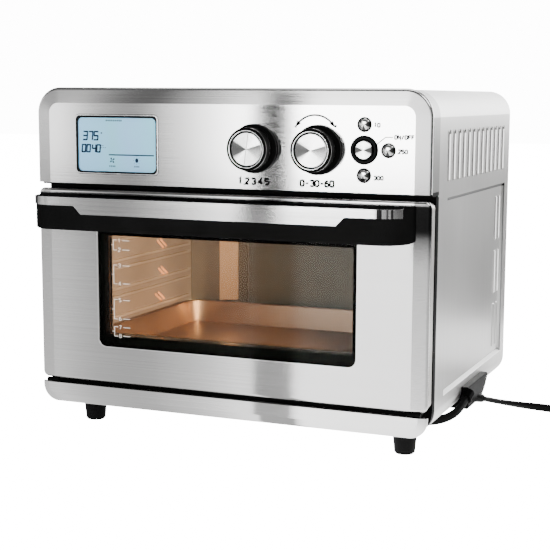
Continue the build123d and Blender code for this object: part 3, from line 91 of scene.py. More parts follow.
def shade(colour, factor):
    return tuple(min(1.0, channel * factor) for channel in colour)


def startMaterial(name):
    material = bpy.data.materials.new(name)
    material.use_nodes = True
    tree = material.node_tree
    shader = tree.nodes["Principled BSDF"]
    place = tree.nodes.new("ShaderNodeTexCoord").outputs["Object"]
    return material, tree, shader, place


def addNoise(tree, place, stretch, detail=3.0):
    mapping = tree.nodes.new("ShaderNodeMapping")
    mapping.inputs["Scale"].default_value = stretch
    noise = tree.nodes.new("ShaderNodeTexNoise")
    noise.inputs["Scale"].default_value = 1.0
    noise.inputs["Detail"].default_value = detail
    tree.links.new(place, mapping.inputs["Vector"])
    tree.links.new(mapping.outputs["Vector"], noise.inputs["Vector"])
    return noise.outputs["Fac"]


def addRange(tree, value, low, high):
    span = tree.nodes.new("ShaderNodeMapRange")
    for socketName, limit in zip(("From Min", "From Max", "To Min", "To Max"), (*noiseSpan, low, high)):
        span.inputs[socketName].default_value = limit
    tree.links.new(value, span.inputs["Value"])
    return span.outputs["Result"]


def addRamp(tree, value, stops):
    ramp = tree.nodes.new("ShaderNodeValToRGB")
    keys = ramp.color_ramp.elements
    while len(keys) < len(stops):
        keys.new(0.5)
    for key, (position, colour) in zip(keys, stops):
        key.position = position
        key.color = (*colour, 1.0)
    tree.links.new(value, ramp.inputs["Fac"])
    return ramp.outputs["Color"]


def addTone(tree, shader, value, dark, light):
    tone = addRamp(tree, value, list(zip(toneSpan, (dark, light))))
    tree.links.new(tone, shader.inputs["Base Color"])
    return tone


def addBump(tree, shader, height, strength, distance):
    bump = tree.nodes.new("ShaderNodeBump")
    bump.inputs["Strength"].default_value = strength
    bump.inputs["Distance"].default_value = distance
    tree.links.new(height, bump.inputs["Height"])
    tree.links.new(bump.outputs["Normal"], shader.inputs["Normal"])


def addMath(tree, operation, *values):
    step = tree.nodes.new("ShaderNodeMath")
    step.operation = operation
    for socket, value in zip(step.inputs, values):
        if isinstance(value, (int, float)):
            socket.default_value = value
        else:
            tree.links.new(value, socket)
    return step.outputs["Value"]


def addBrushing(tree, shader, axis, amount, turn):
    shader.inputs["Anisotropic"].default_value = amount
    shader.inputs["Anisotropic Rotation"].default_value = turn
    tangent = tree.nodes.new("ShaderNodeTangent")
    tangent.direction_type = "RADIAL"
    tangent.axis = axis
    tree.links.new(tangent.outputs["Tangent"], shader.inputs["Tangent"])


def splitPlace(tree, place):
    parts = tree.nodes.new("ShaderNodeSeparateXYZ")
    tree.links.new(place, parts.inputs["Vector"])
    return parts.outputs


def brushedMetal(name, s):
    material, tree, shader, place = startMaterial(name)
    grain = addNoise(tree, place, s["grain"], 4.0)
    cloud = addNoise(tree, place, s["cloud"], 2.0)
    addTone(tree, shader, grain, shade(s["colour"], 0.93), shade(s["colour"], 1.06))
    fine = addRange(tree, grain, -0.01, 0.01)
    wide = addRange(tree, cloud, s["rough"] * 0.9, s["rough"] * 1.1)
    tree.links.new(addMath(tree, "ADD", fine, wide), shader.inputs["Roughness"])
    shader.inputs["Metallic"].default_value = 1.0
    addBrushing(tree, shader, s["axis"], s["anisotropy"], s["turn"])
    addBump(tree, shader, grain, s["bump"], bumpDepths["brushed"])
    return material


def softMetal(name, s):
    material, tree, shader, place = startMaterial(name)
    cloud = addNoise(tree, place, evenly(s["cloud"]), 5.0)
    speck = addNoise(tree, place, s["speck"], 2.0)
    addTone(tree, shader, cloud, s["dark"], s["light"])
    tree.links.new(addRange(tree, cloud, s["rough"] - 0.05, s["rough"] + 0.06), shader.inputs["Roughness"])
    shader.inputs["Metallic"].default_value = s["metallic"]
    addBump(tree, shader, speck, s["bump"], bumpDepths["soft"])
    return material


def mouldedPlastic(name, s):
    material, tree, shader, place = startMaterial(name)
    cloud = addNoise(tree, place, evenly(30.0), 3.0)
    grain = addNoise(tree, place, evenly(s["grain"]), 2.0)
    addTone(tree, shader, cloud, shade(s["colour"], 0.85), shade(s["colour"], 1.2))
    tree.links.new(addRange(tree, cloud, s["rough"] - 0.03, s["rough"] + 0.04), shader.inputs["Roughness"])
    shader.inputs["Specular IOR Level"].default_value = s["shine"]
    shader.inputs["Coat Weight"].default_value = s["coat"]
    shader.inputs["Coat Roughness"].default_value = 0.12
    addBump(tree, shader, grain, s["bump"], bumpDepths["plastic"])
    return material


def clearGlass(name, s):
    material, tree, shader, place = startMaterial(name)
    smear = addNoise(tree, place, (9.0, 9.0, 5.0), 3.0)
    addTone(tree, shader, smear, s["tint"], shade(s["tint"], 1.03))
    tree.links.new(addRange(tree, smear, 0.0, s["rough"]), shader.inputs["Roughness"])
    shader.inputs["Transmission Weight"].default_value = 1.0
    shader.inputs["IOR"].default_value = s["bend"]
    return material


def spunMetal(name, s):
    material, tree, shader, place = startMaterial(name)
    shift = tree.nodes.new("ShaderNodeVectorMath")
    shift.operation = "SUBTRACT"
    shift.inputs[1].default_value = s["centre"]
    tree.links.new(place, shift.inputs[0])
    parts = splitPlace(tree, shift.outputs["Vector"])
    angle = addMath(tree, "ARCTAN2", parts["Z"], parts["X"])
    turn = addMath(tree, "MULTIPLY_ADD", angle, 0.5 / math.pi, 0.5)
    # painted reflection: the base colour runs through bright and dark sectors round the disc
    sectors = [(spot, (tone, tone, tone * 0.985)) for spot, tone in s["sectors"]]
    tree.links.new(addRamp(tree, turn, sectors), shader.inputs["Base Color"])
    squares = [addMath(tree, "MULTIPLY", parts[axis], parts[axis]) for axis in "XZ"]
    reach = addMath(tree, "SQRT", addMath(tree, "ADD", *squares))
    rings = addMath(tree, "SINE", addMath(tree, "MULTIPLY", reach, s["rings"]))
    tree.links.new(addMath(tree, "MULTIPLY_ADD", rings, 0.03, s["rough"]), shader.inputs["Roughness"])
    shader.inputs["Metallic"].default_value = 1.0
    addBrushing(tree, shader, "Y", 0.7, 0.25)
    addBump(tree, shader, rings, 0.04, bumpDepths["spun"])
    return material


def litPanel(name, s):
    material, tree, shader, place = startMaterial(name)
    parts = splitPlace(tree, place)
    along = addMath(tree, "MULTIPLY_ADD", parts["X"], 1.0 / s["width"], 0.5 - s["centre"] / s["width"])
    cloud = addNoise(tree, place, evenly(25.0), 2.0)
    mixed = addMath(tree, "ADD", along, addRange(tree, cloud, -0.12, 0.12))
    tone = addRamp(tree, mixed, s["stops"])
    tree.links.new(tone, shader.inputs["Base Color"])
    tree.links.new(tone, shader.inputs["Emission Color"])
    shader.inputs["Emission Strength"].default_value = s["glow"]
    tree.links.new(addRange(tree, cloud, 0.18, 0.26), shader.inputs["Roughness"])
    return material


def inkMaterial(name, colour, glow=0.0):
    material, tree, shader, place = startMaterial(name)
    cloud = addNoise(tree, place, evenly(400.0), 2.0)
    tone = addTone(tree, shader, cloud, shade(colour, 0.9), shade(colour, 1.1))
    tree.links.new(addRange(tree, cloud, 0.45, 0.6), shader.inputs["Roughness"])
    shader.inputs["Specular IOR Level"].default_value = inkShine
    if glow:
        tree.links.new(tone, shader.inputs["Emission Color"])
        shader.inputs["Emission Strength"].default_value = glow
    return material


def openMaterial(material):
    tree = material.node_tree
    place = tree.nodes.new("ShaderNodeTexCoord").outputs["Object"]
    return tree, tree.nodes["Principled BSDF"], splitPlace(tree, place)


def mixOver(tree, shader, share, blend="MIX"):
    mix = tree.nodes.new("ShaderNodeMix")
    mix.data_type = "RGBA"
    mix.blend_type = blend
    base = shader.inputs["Base Color"]
    tree.links.new(share, mix.inputs["Factor"])
    tree.links.new(base.links[0].from_socket, mix.inputs[mixSockets["under"]])
    tree.links.new(mix.outputs[mixSockets["result"]], base)
    return mix.inputs[mixSockets["over"]]


def darkPart(material, dark, *slabs):
    tree, shader, parts = openMaterial(material)
    inside = None
    for axis, low, high in slabs:
        away = addMath(tree, "ABSOLUTE", addMath(tree, "SUBTRACT", parts[axis], (low + high) / 2))
        within = addMath(tree, "LESS_THAN", away, (high - low) / 2)
        inside = within if inside is None else addMath(tree, "MULTIPLY", inside, within)
    mixOver(tree, shader, inside).default_value = (*dark, 1.0)
    return material


def softDark(material, dark, *ramps):
    tree, shader, parts = openMaterial(material)
    amount = None
    for axis, none, full in ramps:
        span = tree.nodes.new("ShaderNodeMapRange")
        span.interpolation_type = "SMOOTHSTEP"
        span.inputs["From Min"].default_value = none
        span.inputs["From Max"].default_value = full
        tree.links.new(parts[axis], span.inputs["Value"])
        share = span.outputs["Result"]
        amount = share if amount is None else addMath(tree, "MULTIPLY", amount, share)
    mixOver(tree, shader, amount).default_value = (*dark, 1.0)
    return material


# paints light and shade across the rails of the chamber's side walls: lit ridge faces, shadow under each ridge
def railShade(material, s):
    tree, shader, parts = openMaterial(material)
    rise = addMath(tree, "MULTIPLY_ADD", parts["Z"], 1.0 / s["pitch"], -s["start"] / s["pitch"])
    tone = addRamp(tree, addMath(tree, "FRACT", rise), [(spot, evenly(light)) for spot, light in s["stops"]])
    aside = addMath(tree, "GREATER_THAN", addMath(tree, "ABSOLUTE", parts["X"]), s["wall"])
    tree.links.new(tone, mixOver(tree, shader, aside, "MULTIPLY"))
    return material


frontSteel = {
    "colour": (0.72, 0.715, 0.71),
    "rough": 0.10,
    "grain": (6.0, 900.0, 1600.0),
    "cloud": evenly(7.0),
    "anisotropy": 1.0,
    "turn": 0.25,
    "axis": "Z",
    "bump": 0.07,
}
wrapSteel = {
    "colour": (0.68, 0.675, 0.665),
    "rough": 0.33,
    "grain": (6.0, 1500.0, 6.0),
    "cloud": evenly(6.0),
    "anisotropy": 0.5,
    "turn": 0.25,
    "axis": "Y",
    "bump": 0.04,
}
# painted shade: the front steel made darker for the door
shadedDoorSteel = dict(frontSteel, colour=(0.60, 0.595, 0.59))
housingSteel = dict(wrapSteel, colour=(0.40, 0.40, 0.395))
metalKeys = ("cloud", "speck", "dark", "light", "rough", "metallic", "bump")
metalRows = {
    "platedSteel": (60.0, evenly(900.0), (0.27, 0.27, 0.275), (0.31, 0.31, 0.315), 0.42, 0.9, 0.08),
    "chamberSteel": (14.0, evenly(800.0), (0.50, 0.47, 0.43), (0.62, 0.59, 0.55), 0.42, 0.75, 0.06),
    "traySteel": (18.0, evenly(900.0), (0.31, 0.215, 0.15), (0.40, 0.285, 0.205), 0.37, 0.88, 0.04),
    "crumbSheet": (22.0, evenly(900.0), (0.50, 0.49, 0.47), (0.62, 0.61, 0.59), 0.40, 1.0, 0.05),
    "rodSteel": (40.0, evenly(1200.0), (0.16, 0.15, 0.14), (0.30, 0.28, 0.26), 0.50, 0.8, 0.10),
    "hardwareSteel": (80.0, evenly(1500.0), (0.46, 0.46, 0.47), (0.62, 0.62, 0.62), 0.30, 1.0, 0.05),
    "buttonChrome": (120.0, evenly(1500.0), (0.74, 0.74, 0.74), (0.82, 0.82, 0.81), 0.11, 1.0, 0.01),
    "fanMetal": (40.0, evenly(1000.0), evenly(0.48), evenly(0.60), 0.34, 1.0, 0.04),
    "motorSteel": (50.0, (1000.0, 1000.0, 300.0), (0.20, 0.20, 0.21), (0.32, 0.32, 0.33), 0.45, 0.8, 0.12),
    "doorPan": (14.0, evenly(800.0), (0.50, 0.49, 0.47), (0.62, 0.60, 0.58), 0.36, 0.9, 0.06),
    "linerSteel": (14.0, evenly(800.0), (0.58, 0.53, 0.48), (0.70, 0.65, 0.60), 0.40, 0.7, 0.06),
    # painted shade: a darker, browner copy of the chamber steel for the rear return
    "shadedReturnSteel": (14.0, evenly(800.0), (0.21, 0.16, 0.115), (0.26, 0.20, 0.145), 0.40, 0.7, 0.06),
}
plasticKeys = ("colour", "grain", "rough", "coat", "shine", "bump")
plasticRows = {
    "ceramic": ((0.74, 0.71, 0.65), 1200.0, 0.55, 0.0, 0.5, 0.10),
    "insulation": ((0.70, 0.67, 0.58), 500.0, 0.90, 0.0, 0.5, 0.60),
    "housingBlack": (evenly(0.003), 1500.0, 0.48, 0.0, 0.03, 0.12),
    "handleBlack": (evenly(0.006), 1800.0, 0.42, 0.0, 0.0, 0.06),
    "glossBlack": (evenly(0.002), 300.0, 0.14, 0.0, 0.3, 0.01),
    "knobBlack": (evenly(0.003), 1500.0, 0.25, 0.0, 0.015, 0.02),
    "silicone": ((0.035, 0.034, 0.033), 900.0, 0.60, 0.0, 0.5, 0.10),
    "circuitBoard": ((0.03, 0.14, 0.06), 700.0, 0.40, 0.2, 0.5, 0.20),
    "switchPlastic": ((0.05, 0.05, 0.055), 1200.0, 0.50, 0.0, 0.5, 0.10),
    "footRubber": (evenly(0.003), 1100.0, 0.62, 0.0, 0.05, 0.14),
    "cordJacket": (evenly(0.003), 900.0, 0.45, 0.0, 0.04, 0.05),
    "cordFitting": (evenly(0.003), 1000.0, 0.36, 0.0, 0.04, 0.05),
    "frameEnamel": (evenly(0.002), 900.0, 0.45, 0.0, 0.02, 0.06),
    "windowFrame": (evenly(0.002), 300.0, 0.14, 0.0, 0.3, 0.01),
    "anchorBlack": (evenly(0.002), 1000.0, 0.30, 0.0, 0.01, 0.03),
    "ringBlack": (evenly(0.002), 900.0, 0.20, 0.0, 0.02, 0.02),
}
displayGlass = {
    "width": 0.0852,
    "centre": -0.111,
    "glow": 0.33,
    "stops": [
        (0.0, (0.27, 0.60, 0.92)), (0.45, (0.24, 0.58, 0.74)),
        (0.7, (0.27, 0.55, 0.82)), (1.0, (0.24, 0.64, 0.82)),
    ],
}
displayPanel = dict(displayGlass, glow=0.3, stops=[(0.0, (0.46, 0.62, 0.78)), (1.0, (0.42, 0.62, 0.70))])


def metal(name):
    return softMetal(name, dict(zip(metalKeys, metalRows[name])))


def plastic(name):
    return mouldedPlastic(name, dict(zip(plasticKeys, plasticRows[name])))


finishes = {  # by the slot names of the imported materials
    "front_steel": brushedMetal("frontSteel", frontSteel),
    "cabinet_steel": brushedMetal("wrapSteel", wrapSteel),
    "plated_steel": metal("platedSteel"),
    "chamber_steel": metal("chamberSteel"),
    "tray_steel": metal("traySteel"),
    "crumb_sheet": metal("crumbSheet"),
    "rod_steel": metal("rodSteel"),
    "hardware_steel": metal("hardwareSteel"),
    "button_chrome": metal("buttonChrome"),
    "fan_metal": metal("fanMetal"),
    "motor_steel": metal("motorSteel"),
    "ceramic": plastic("ceramic"),
    "insulation": plastic("insulation"),
    "housing_black": plastic("housingBlack"),
    "handle_black": plastic("handleBlack"),
    "gloss_black": plastic("glossBlack"),
    "knob_metal": plastic("knobBlack"),
    "silicone": plastic("silicone"),
    "circuit_board": plastic("circuitBoard"),
    "switch_plastic": plastic("switchPlastic"),
    "foot_rubber": plastic("footRubber"),
    "cord_jacket": plastic("cordJacket"),
    "cord_fitting": plastic("cordFitting"),
    "door_glass": clearGlass("doorGlass", {"tint": (0.82, 0.82, 0.81), "rough": 0.02, "bend": 1.14}),
    "lamp_glass": clearGlass("lampGlass", {"tint": (0.97, 0.93, 0.85), "rough": 0.08, "bend": 1.45}),
    "display_glass": litPanel("displayGlass", displayGlass),
    "display_panel": litPanel("displayPanel", displayPanel),
}

# painted light and shade on the side walls: lighter ridge faces, dark bands under the ridges
railPaintedLight = {
    "pitch": 0.030,
    "start": 0.0785,
    "wall": 0.164,
    "stops": [
        (0.0, 0.80), (0.280, 0.80), (0.292, 0.32), (0.303, 0.42), (0.335, 1.0), (0.408, 1.0), (0.418, 0.80),
        (0.568, 0.80), (0.580, 0.32), (0.592, 0.42), (0.622, 1.0), (0.695, 1.0), (0.706, 0.80), (1.0, 0.80),
    ],
}
linerPaintedShade = [  # painted shade on the chamber's rear wall, its left corner and the slope of its recess
    ((0.17, 0.172, 0.15), ("Y", 0.142, 0.25)),
    ((0.30, 0.30, 0.27), ("X", -0.175, -0.127), ("Y", 0.142, 0.25)),
    ((0.055, 0.052, 0.044), ("X", -0.125, -0.095), ("Y", 0.1445, 0.1557)),
]
flankX, flankY = ("X", 0.19, 0.1988), ("Y", -0.079, 0.1595)
flankPaintedShade = [  # painted shade along the upper, lower and rear edge of the pressed recess: shadow under its top wall, darker lines for its lower and rear walls
    (evenly(0.04), flankX, flankY, ("Z", 0.2365, 0.2412)),
    ((0.36, 0.36, 0.355), flankX, flankY, ("Z", 0.0538, 0.0585)),
    (evenly(0.26), flankX, ("Y", 0.1566, 0.1592), ("Z", 0.0585, 0.2365)),
]
stripPaintedReflection = [  # painted reflection: darker steps around the strip's right end
    (evenly(0.02), ("X", 0.1640, 0.1685)),
    (evenly(0.40), ("X", 0.1685, 0.1722)),
    (evenly(0.10), ("X", 0.1722, 0.1740)),
    (evenly(0.10), ("X", 0.1757, 0.1775)),
]
doorPaintedReflection = [  # painted reflection and shadow of the handle: right of it, and along its back
    (evenly(0.015), ("X", 0.179, 0.187), ("Z", 0.176, 0.222), ("Z", 0.2395, 0.2310)),
    (evenly(0.012), ("Z", 0.2372, 0.2352), ("Z", 0.205, 0.215)),
]
# painted shade in the gap between the fascia and the door
panPaintedShade = [(evenly(0.003), ("Z", 0.2378, 0.26))]
housingPaintedShade = [(evenly(0.003), ("Z", 0.2, 0.2475))]
# painted light: warm chamber light on the inner edge of the window frame
framePaintedLight = [((0.11, 0.055, 0.028), ("X", -0.1284, 0.1284), ("Y", -0.1240, -0.1180), ("Z", 0.0972, 0.1964))]


def shadeParts(material, shades, apply=darkPart):
    for dark, *spans in shades:
        apply(material, dark, *spans)
    return material


# painted reflections for the spun discs, knob caps and buttons, by angle round each centre
discReflections = [
    (0.0, 0.03), (0.07, 0.04), (0.10, 0.45), (0.14, 1.0), (0.36, 0.95), (0.42, 0.34), (0.50, 0.12),
    (0.545, 0.05), (0.555, 0.9), (0.62, 1.0), (0.88, 0.95), (0.915, 0.4), (0.925, 0.05), (1.0, 0.03),
]
capReflections = [
    (0.0, 0.02), (0.05, 0.02), (0.09, 0.62), (0.25, 0.90), (0.40, 0.62), (0.45, 0.02), (0.55, 0.02),
    (0.60, 0.70), (0.75, 0.95), (0.91, 0.70), (0.95, 0.02), (1.0, 0.02),
]
buttonReflections = [
    (0.0, 0.45), (0.16, 0.60), (0.21, 0.04), (0.29, 0.03), (0.33, 0.75), (0.41, 0.70), (0.45, 0.02),
    (0.57, 0.02), (0.62, 0.80), (0.80, 0.95), (0.90, 0.20), (1.0, 0.45),
]
discRows = {  # material, centre, sectors of painted reflection, rings, rough
    "function_knob_cap": ("functionDisc", (0.033, 0.0, 0.2833), discReflections, 9000.0, 0.26),
    "temperature_knob_cap": ("temperatureDisc", (0.095, 0.0, 0.2833), discReflections, 9000.0, 0.26),
    "start_button": ("startDisc", (0.1384, 0.0, 0.284), capReflections, 12000.0, 0.24),
    "light_button": ("lightDisc", (0.1384, 0.0, 0.3064), buttonReflections, 14000.0, 0.14),
    "temp_time_button": ("temperatureButtonDisc", (0.1608, 0.0, 0.284), buttonReflections, 14000.0, 0.14),
    "preheat_button": ("preheatDisc", (0.1384, 0.0, 0.2616), buttonReflections, 14000.0, 0.14),
}
frameEnamel = plastic("frameEnamel")
nodeFinishes = {
    "front_frame": frameEnamel,
    "hinge_brackets": frameEnamel,
    "hinge_leaves": frameEnamel,
    "start_ring": plastic("ringBlack"),
    "cord_anchor": plastic("anchorBlack"),
    "display_bezel": finishes["button_chrome"],
    "handle_strip": shadeParts(brushedMetal("stripSteel", frontSteel), stripPaintedReflection),
    "cabinet_wrap": shadeParts(brushedMetal("flankSteel", wrapSteel), flankPaintedShade),
    "cavity_liner": shadeParts(railShade(metal("linerSteel"), railPaintedLight), linerPaintedShade),
    "door_panel": shadeParts(brushedMetal("shadedDoorSteel", shadedDoorSteel), doorPaintedReflection, softDark),
    "door_inner_panel": shadeParts(metal("doorPan"), panPaintedShade),
    "control_housing": shadeParts(brushedMetal("housingSteel", housingSteel), housingPaintedShade),
    "window_frame": shadeParts(plastic("windowFrame"), framePaintedLight),
}
for nodeName, (discName, discCentre, sectors, rings, rough) in discRows.items():
    discSet = {"centre": discCentre, "sectors": sectors, "rings": rings, "rough": rough}
    nodeFinishes[nodeName] = spunMetal(discName, discSet)
for nodeName, piece in nodes.items():
    slotName = piece.data.materials[0].name
    piece.data.materials[0] = nodeFinishes.get(nodeName, finishes.get(slotName, finishes["front_steel"]))
print("finishes set")


cordSet = {
    "lead": [
        (0.158, -0.053, 0.0215), (0.176, -0.051, 0.0216), (0.1926, -0.0415, 0.024), (0.203, -0.028, 0.0306),
        (0.2046, -0.012, 0.0382),
    ],
    "run": [
        (0.206, 0.048, 0.026), (0.2115, 0.066, 0.0205), (0.220, 0.0835, 0.0152), (0.233, 0.1015, 0.0098),
        (0.249, 0.1135, 0.0064), (0.269, 0.1165, 0.0049), (0.288, 0.1135, 0.0049), (0.305, 0.1085, 0.0049),
    ],
    "runTilt": [90, 90, 80, 55, 25, 5, 0, 0],
    "width": 0.0084,
    "thickness": 0.0052,
}
coilSet = {
    "heading": (17.0, -5.0),
    "radius": 0.047,
    "straight": 0.0076,
    "halves": [  # centre x, centre z, start x, start z, side
        (0.0, 0.0, 0.047, 0.0, 1),
        (-0.005, 0.0, -0.042, 0.0, -1),
        (-0.0025, 0.0042, 0.0395, -0.0042, 1),
        (0.0, 0.0084, -0.042, 0.0, -1),
        (-0.005, 0.0084, 0.047, 0.0, 1),
    ],
    "steps": 12,
    "end": (-0.052, -0.0076, 0.0084),
}


def coilPoints(s, origin):
    heading = Vector((*s["heading"], 0.0)).normalized()
    aside = Vector((heading.y, -heading.x, 0.0))
    points = []
    for centreX, centreZ, startX, startZ, side in s["halves"]:
        reach = math.hypot(startX, startZ) * side
        for step in range(s["steps"]):
            turn = math.pi * step / s["steps"]
            over = math.cos(turn)
            points.append((centreX + startX * over, reach * math.sin(turn), centreZ + startZ * over))
    last = s["halves"][-1]
    points.append((last[0] - last[2], 0.0, last[1]))
    points.append(s["end"])
    laid = []
    for x, y, z in points:
        flat = aside * (x - s["radius"]) + heading * (y + s["straight"])
        laid.append(Vector(origin) + flat + Vector((0.0, 0.0, z)))
    return laid


def makeCord(name, points, tilts, s):
    curve = bpy.data.curves.new(name, "CURVE")
    curve.dimensions = "3D"
    curve.twist_mode = "Z_UP"
    curve.extrude = (s["width"] - s["thickness"]) / 2
    curve.bevel_depth = s["thickness"] / 2
    curve.bevel_resolution = 5
    curve.resolution_u = 8
    curve.use_fill_caps = True
    spline = curve.splines.new("NURBS")
    spline.points.add(len(points) - 1)
    for control, point, tilt in zip(spline.points, points, tilts):
        control.co = (*point, 1.0)
        control.tilt = math.radians(tilt)
    spline.order_u = 3
    spline.use_endpoint_u = True
    cord = bpy.data.objects.new(name, curve)
    bpy.context.collection.objects.link(cord)
    curve.materials.append(finishes["cord_jacket"])
    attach(cord, "cabinet")
    return cord


coilRun = coilPoints(coilSet, cordSet["run"][-1])
mainCord = makeCord("mainCord", cordSet["run"] + coilRun, cordSet["runTilt"] + [0] * len(coilRun), cordSet)
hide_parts("power_cord", "cord_coil")
leadCord = makeCord("leadCord", cordSet["lead"], [0] * len(cordSet["lead"]), cordSet)
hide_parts("lead_cord")
print("cords laid")


def meshFrom(bm, name):
    bmesh.ops.recalc_face_normals(bm, faces=bm.faces)
    mesh = bpy.data.meshes.new(name)
    bm.to_mesh(mesh)
    bm.free()
    return mesh


def finishPiece(name, bm, materials, body):
    mesh = meshFrom(bm, name)
    for material in materials:
        mesh.materials.append(material)
    piece = bpy.data.objects.new(name, mesh)
    bpy.context.collection.objects.link(piece)
    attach(piece, body)
    return piece


def extrudeBy(bm, faces, step):
    grown = bmesh.ops.extrude_face_region(bm, geom=faces)["geom"]
    fresh = [part for part in grown if isinstance(part, bmesh.types.BMVert)]
    bmesh.ops.translate(bm, verts=fresh, vec=step)
    return fresh


def thicken(bm, faces, thick, material):
    touched = set(faces)
    for vert in extrudeBy(bm, faces, Vector((0.0, -1.0, 0.0)) * thick):
        touched.update(vert.link_faces)
    for face in touched:
        face.material_index = material


def addRibbon(bm, path, width, level, thick, closed=False, material=0):
    points = [Vector(point) for point in path]
    count = len(points)
    sides = []
    for index, point in enumerate(points):
        before = points[index - 1] if closed or index else None
        after = points[(index + 1) % count] if closed or index < count - 1 else None
        inward = (point - before).normalized() if before else (after - point).normalized()
        outward = (after - point).normalized() if after else inward
        middle = (inward + outward).normalized()
        normal = Vector((-middle.y, middle.x))
        reach = width / 2 / max(0.35, middle.dot(inward))  # the limit keeps sharp corners short
        sides.append((point + normal * reach, point - normal * reach))
    pairs = [[bm.verts.new((spot.x, level, spot.y)) for spot in side] for side in sides]
    spans = list(zip(pairs, pairs[1:])) + ([(pairs[-1], pairs[0])] if closed else [])
    faces = [bm.faces.new((a[0], a[1], b[1], b[0])) for a, b in spans]
    thicken(bm, faces, thick, material)


def addPlate(bm, outline, level, thick, material=0):
    face = bm.faces.new([bm.verts.new((x, level, z)) for x, z in outline])
    thicken(bm, [face], thick, material)


def addRing(bm, outer, inner, level, thick, material=0):
    rims = [[bm.verts.new((x, level, z)) for x, z in outline] for outline in (outer, inner)]
    nexts = [rim[1:] + rim[:1] for rim in rims]
    faces = [bm.faces.new(corners) for corners in zip(rims[0], nexts[0], nexts[1], rims[1])]
    thicken(bm, faces, thick, material)


def circleAt(centre, radius, steps):
    turns = [math.tau * step / steps for step in range(steps)]
    return [(centre[0] + radius * math.cos(turn), centre[1] + radius * math.sin(turn)) for turn in turns]


def arcAt(centre, radius, first, last, steps):
    turns = [math.radians(first + (last - first) * step / steps) for step in range(steps + 1)]
    return [(centre[0] + radius * math.cos(turn), centre[1] + radius * math.sin(turn)) for turn in turns]


def roundedOutline(centre, width, height, corner, steps=6):
    points = []
    for quarter, (signX, signZ) in enumerate(((1, 1), (-1, 1), (-1, -1), (1, -1))):
        for step in range(steps + 1):
            turn = math.pi / 2 * (quarter + step / steps)
            x = centre[0] + signX * (width / 2 - corner) + corner * math.cos(turn)
            z = centre[1] + signZ * (height / 2 - corner) + corner * math.sin(turn)
            points.append((x, z))
    return points


letterStrokes = {  # strokes on a grid 4 wide and 6 high
    "0": [[(1, 0), (0, 1), (0, 5), (1, 6), (3, 6), (4, 5), (4, 1), (3, 0), (1, 0)]],
    "1": [[(0.8, 4.8), (2, 6), (2, 0)]],
    "2": [[(0, 5), (1, 6), (3, 6), (4, 5), (4, 4), (0, 0), (4, 0)]],
    "3": [
        [(0, 5), (1, 6), (3, 6), (4, 5), (4, 4), (3, 3.1), (1.6, 3.1)],
        [(3, 3.1), (4, 2.2), (4, 1), (3, 0), (1, 0), (0, 1)],
    ],
    "4": [[(3, 0), (3, 6), (0, 2), (4, 2)]],
    "5": [[(4, 6), (0, 6), (0, 3.5), (3, 3.5), (4, 2.5), (4, 1), (3, 0), (0, 0)]],
    "6": [[(3.4, 6), (1.2, 5.4), (0, 3.6), (0, 1), (1, 0), (3, 0), (4, 1), (4, 2.4), (3, 3.4), (0.6, 3.4)]],
    "7": [[(0, 6), (4, 6), (1.4, 0)]],
    "8": [[
        (1, 3.2), (0, 4.2), (0, 5), (1, 6), (3, 6), (4, 5), (4, 4.2), (3, 3.2),
        (1, 3.2), (0, 2.2), (0, 1), (1, 0), (3, 0), (4, 1), (4, 2.2), (3, 3.2),
    ]],
    "N": [[(0, 0), (0, 6), (4, 0), (4, 6)]],
    "F": [[(0, 0), (0, 6), (4, 6)], [(0, 3.2), (3.2, 3.2)]],
    "/": [[(0.6, -0.4), (3.4, 6.4)]],
    "-": [[(0.4, 3), (3.6, 3)]],
    " ": [],
}
letterStrokes["O"] = letterStrokes["0"]


def addText(bm, words, centre, height, stroke, level, thick, material=0, pitch=6.0):
    unit = height / 6
    start = centre[0] - (len(words) - 1) * pitch * unit / 2
    for index, letter in enumerate(words):
        left = start + index * pitch * unit - 2 * unit
        for line in letterStrokes[letter]:
            path = [(left + x * unit, centre[1] + (z - 3) * unit) for x, z in line]
            closed = path[0] == path[-1]
            addRibbon(bm, path[:-1] if closed else path, stroke, level, thick, closed, material)


fasciaPrintSet = {
    "level": -0.136,
    "thick": 0.00006,
    "arc": ((0.0918, 0.2926), 0.0216, 37.0, 143.0, 32),  # centre, radius, start, end, steps
    "arcWidth": 0.0017,
    "headLength": 0.0062,
    "headSlim": 0.36,
    "signs": [((0.0732, 0.3037), 0.0018, False), ((0.1113, 0.3046), 0.0022, True)],
    "leader": [(0.1500, 0.2893), (0.1580, 0.2956), (0.1648, 0.2956)],
    "leaderWidth": 0.0009,
    "numbers": [("1 2 3 4 5", (0.0319, 0.2534), 3.9), ("0-30-60", (0.0940, 0.2532), 5.6)],
    "numberSize": (0.0051, 0.0018),
    "captions": [
        ("10", (0.1500, 0.3060)), ("ON/OFF", (0.1752, 0.2957)),
        ("250", (0.1740, 0.2832)), ("300", (0.1520, 0.2597)),
    ],
    "captionSize": (0.0031, 0.0012),
}


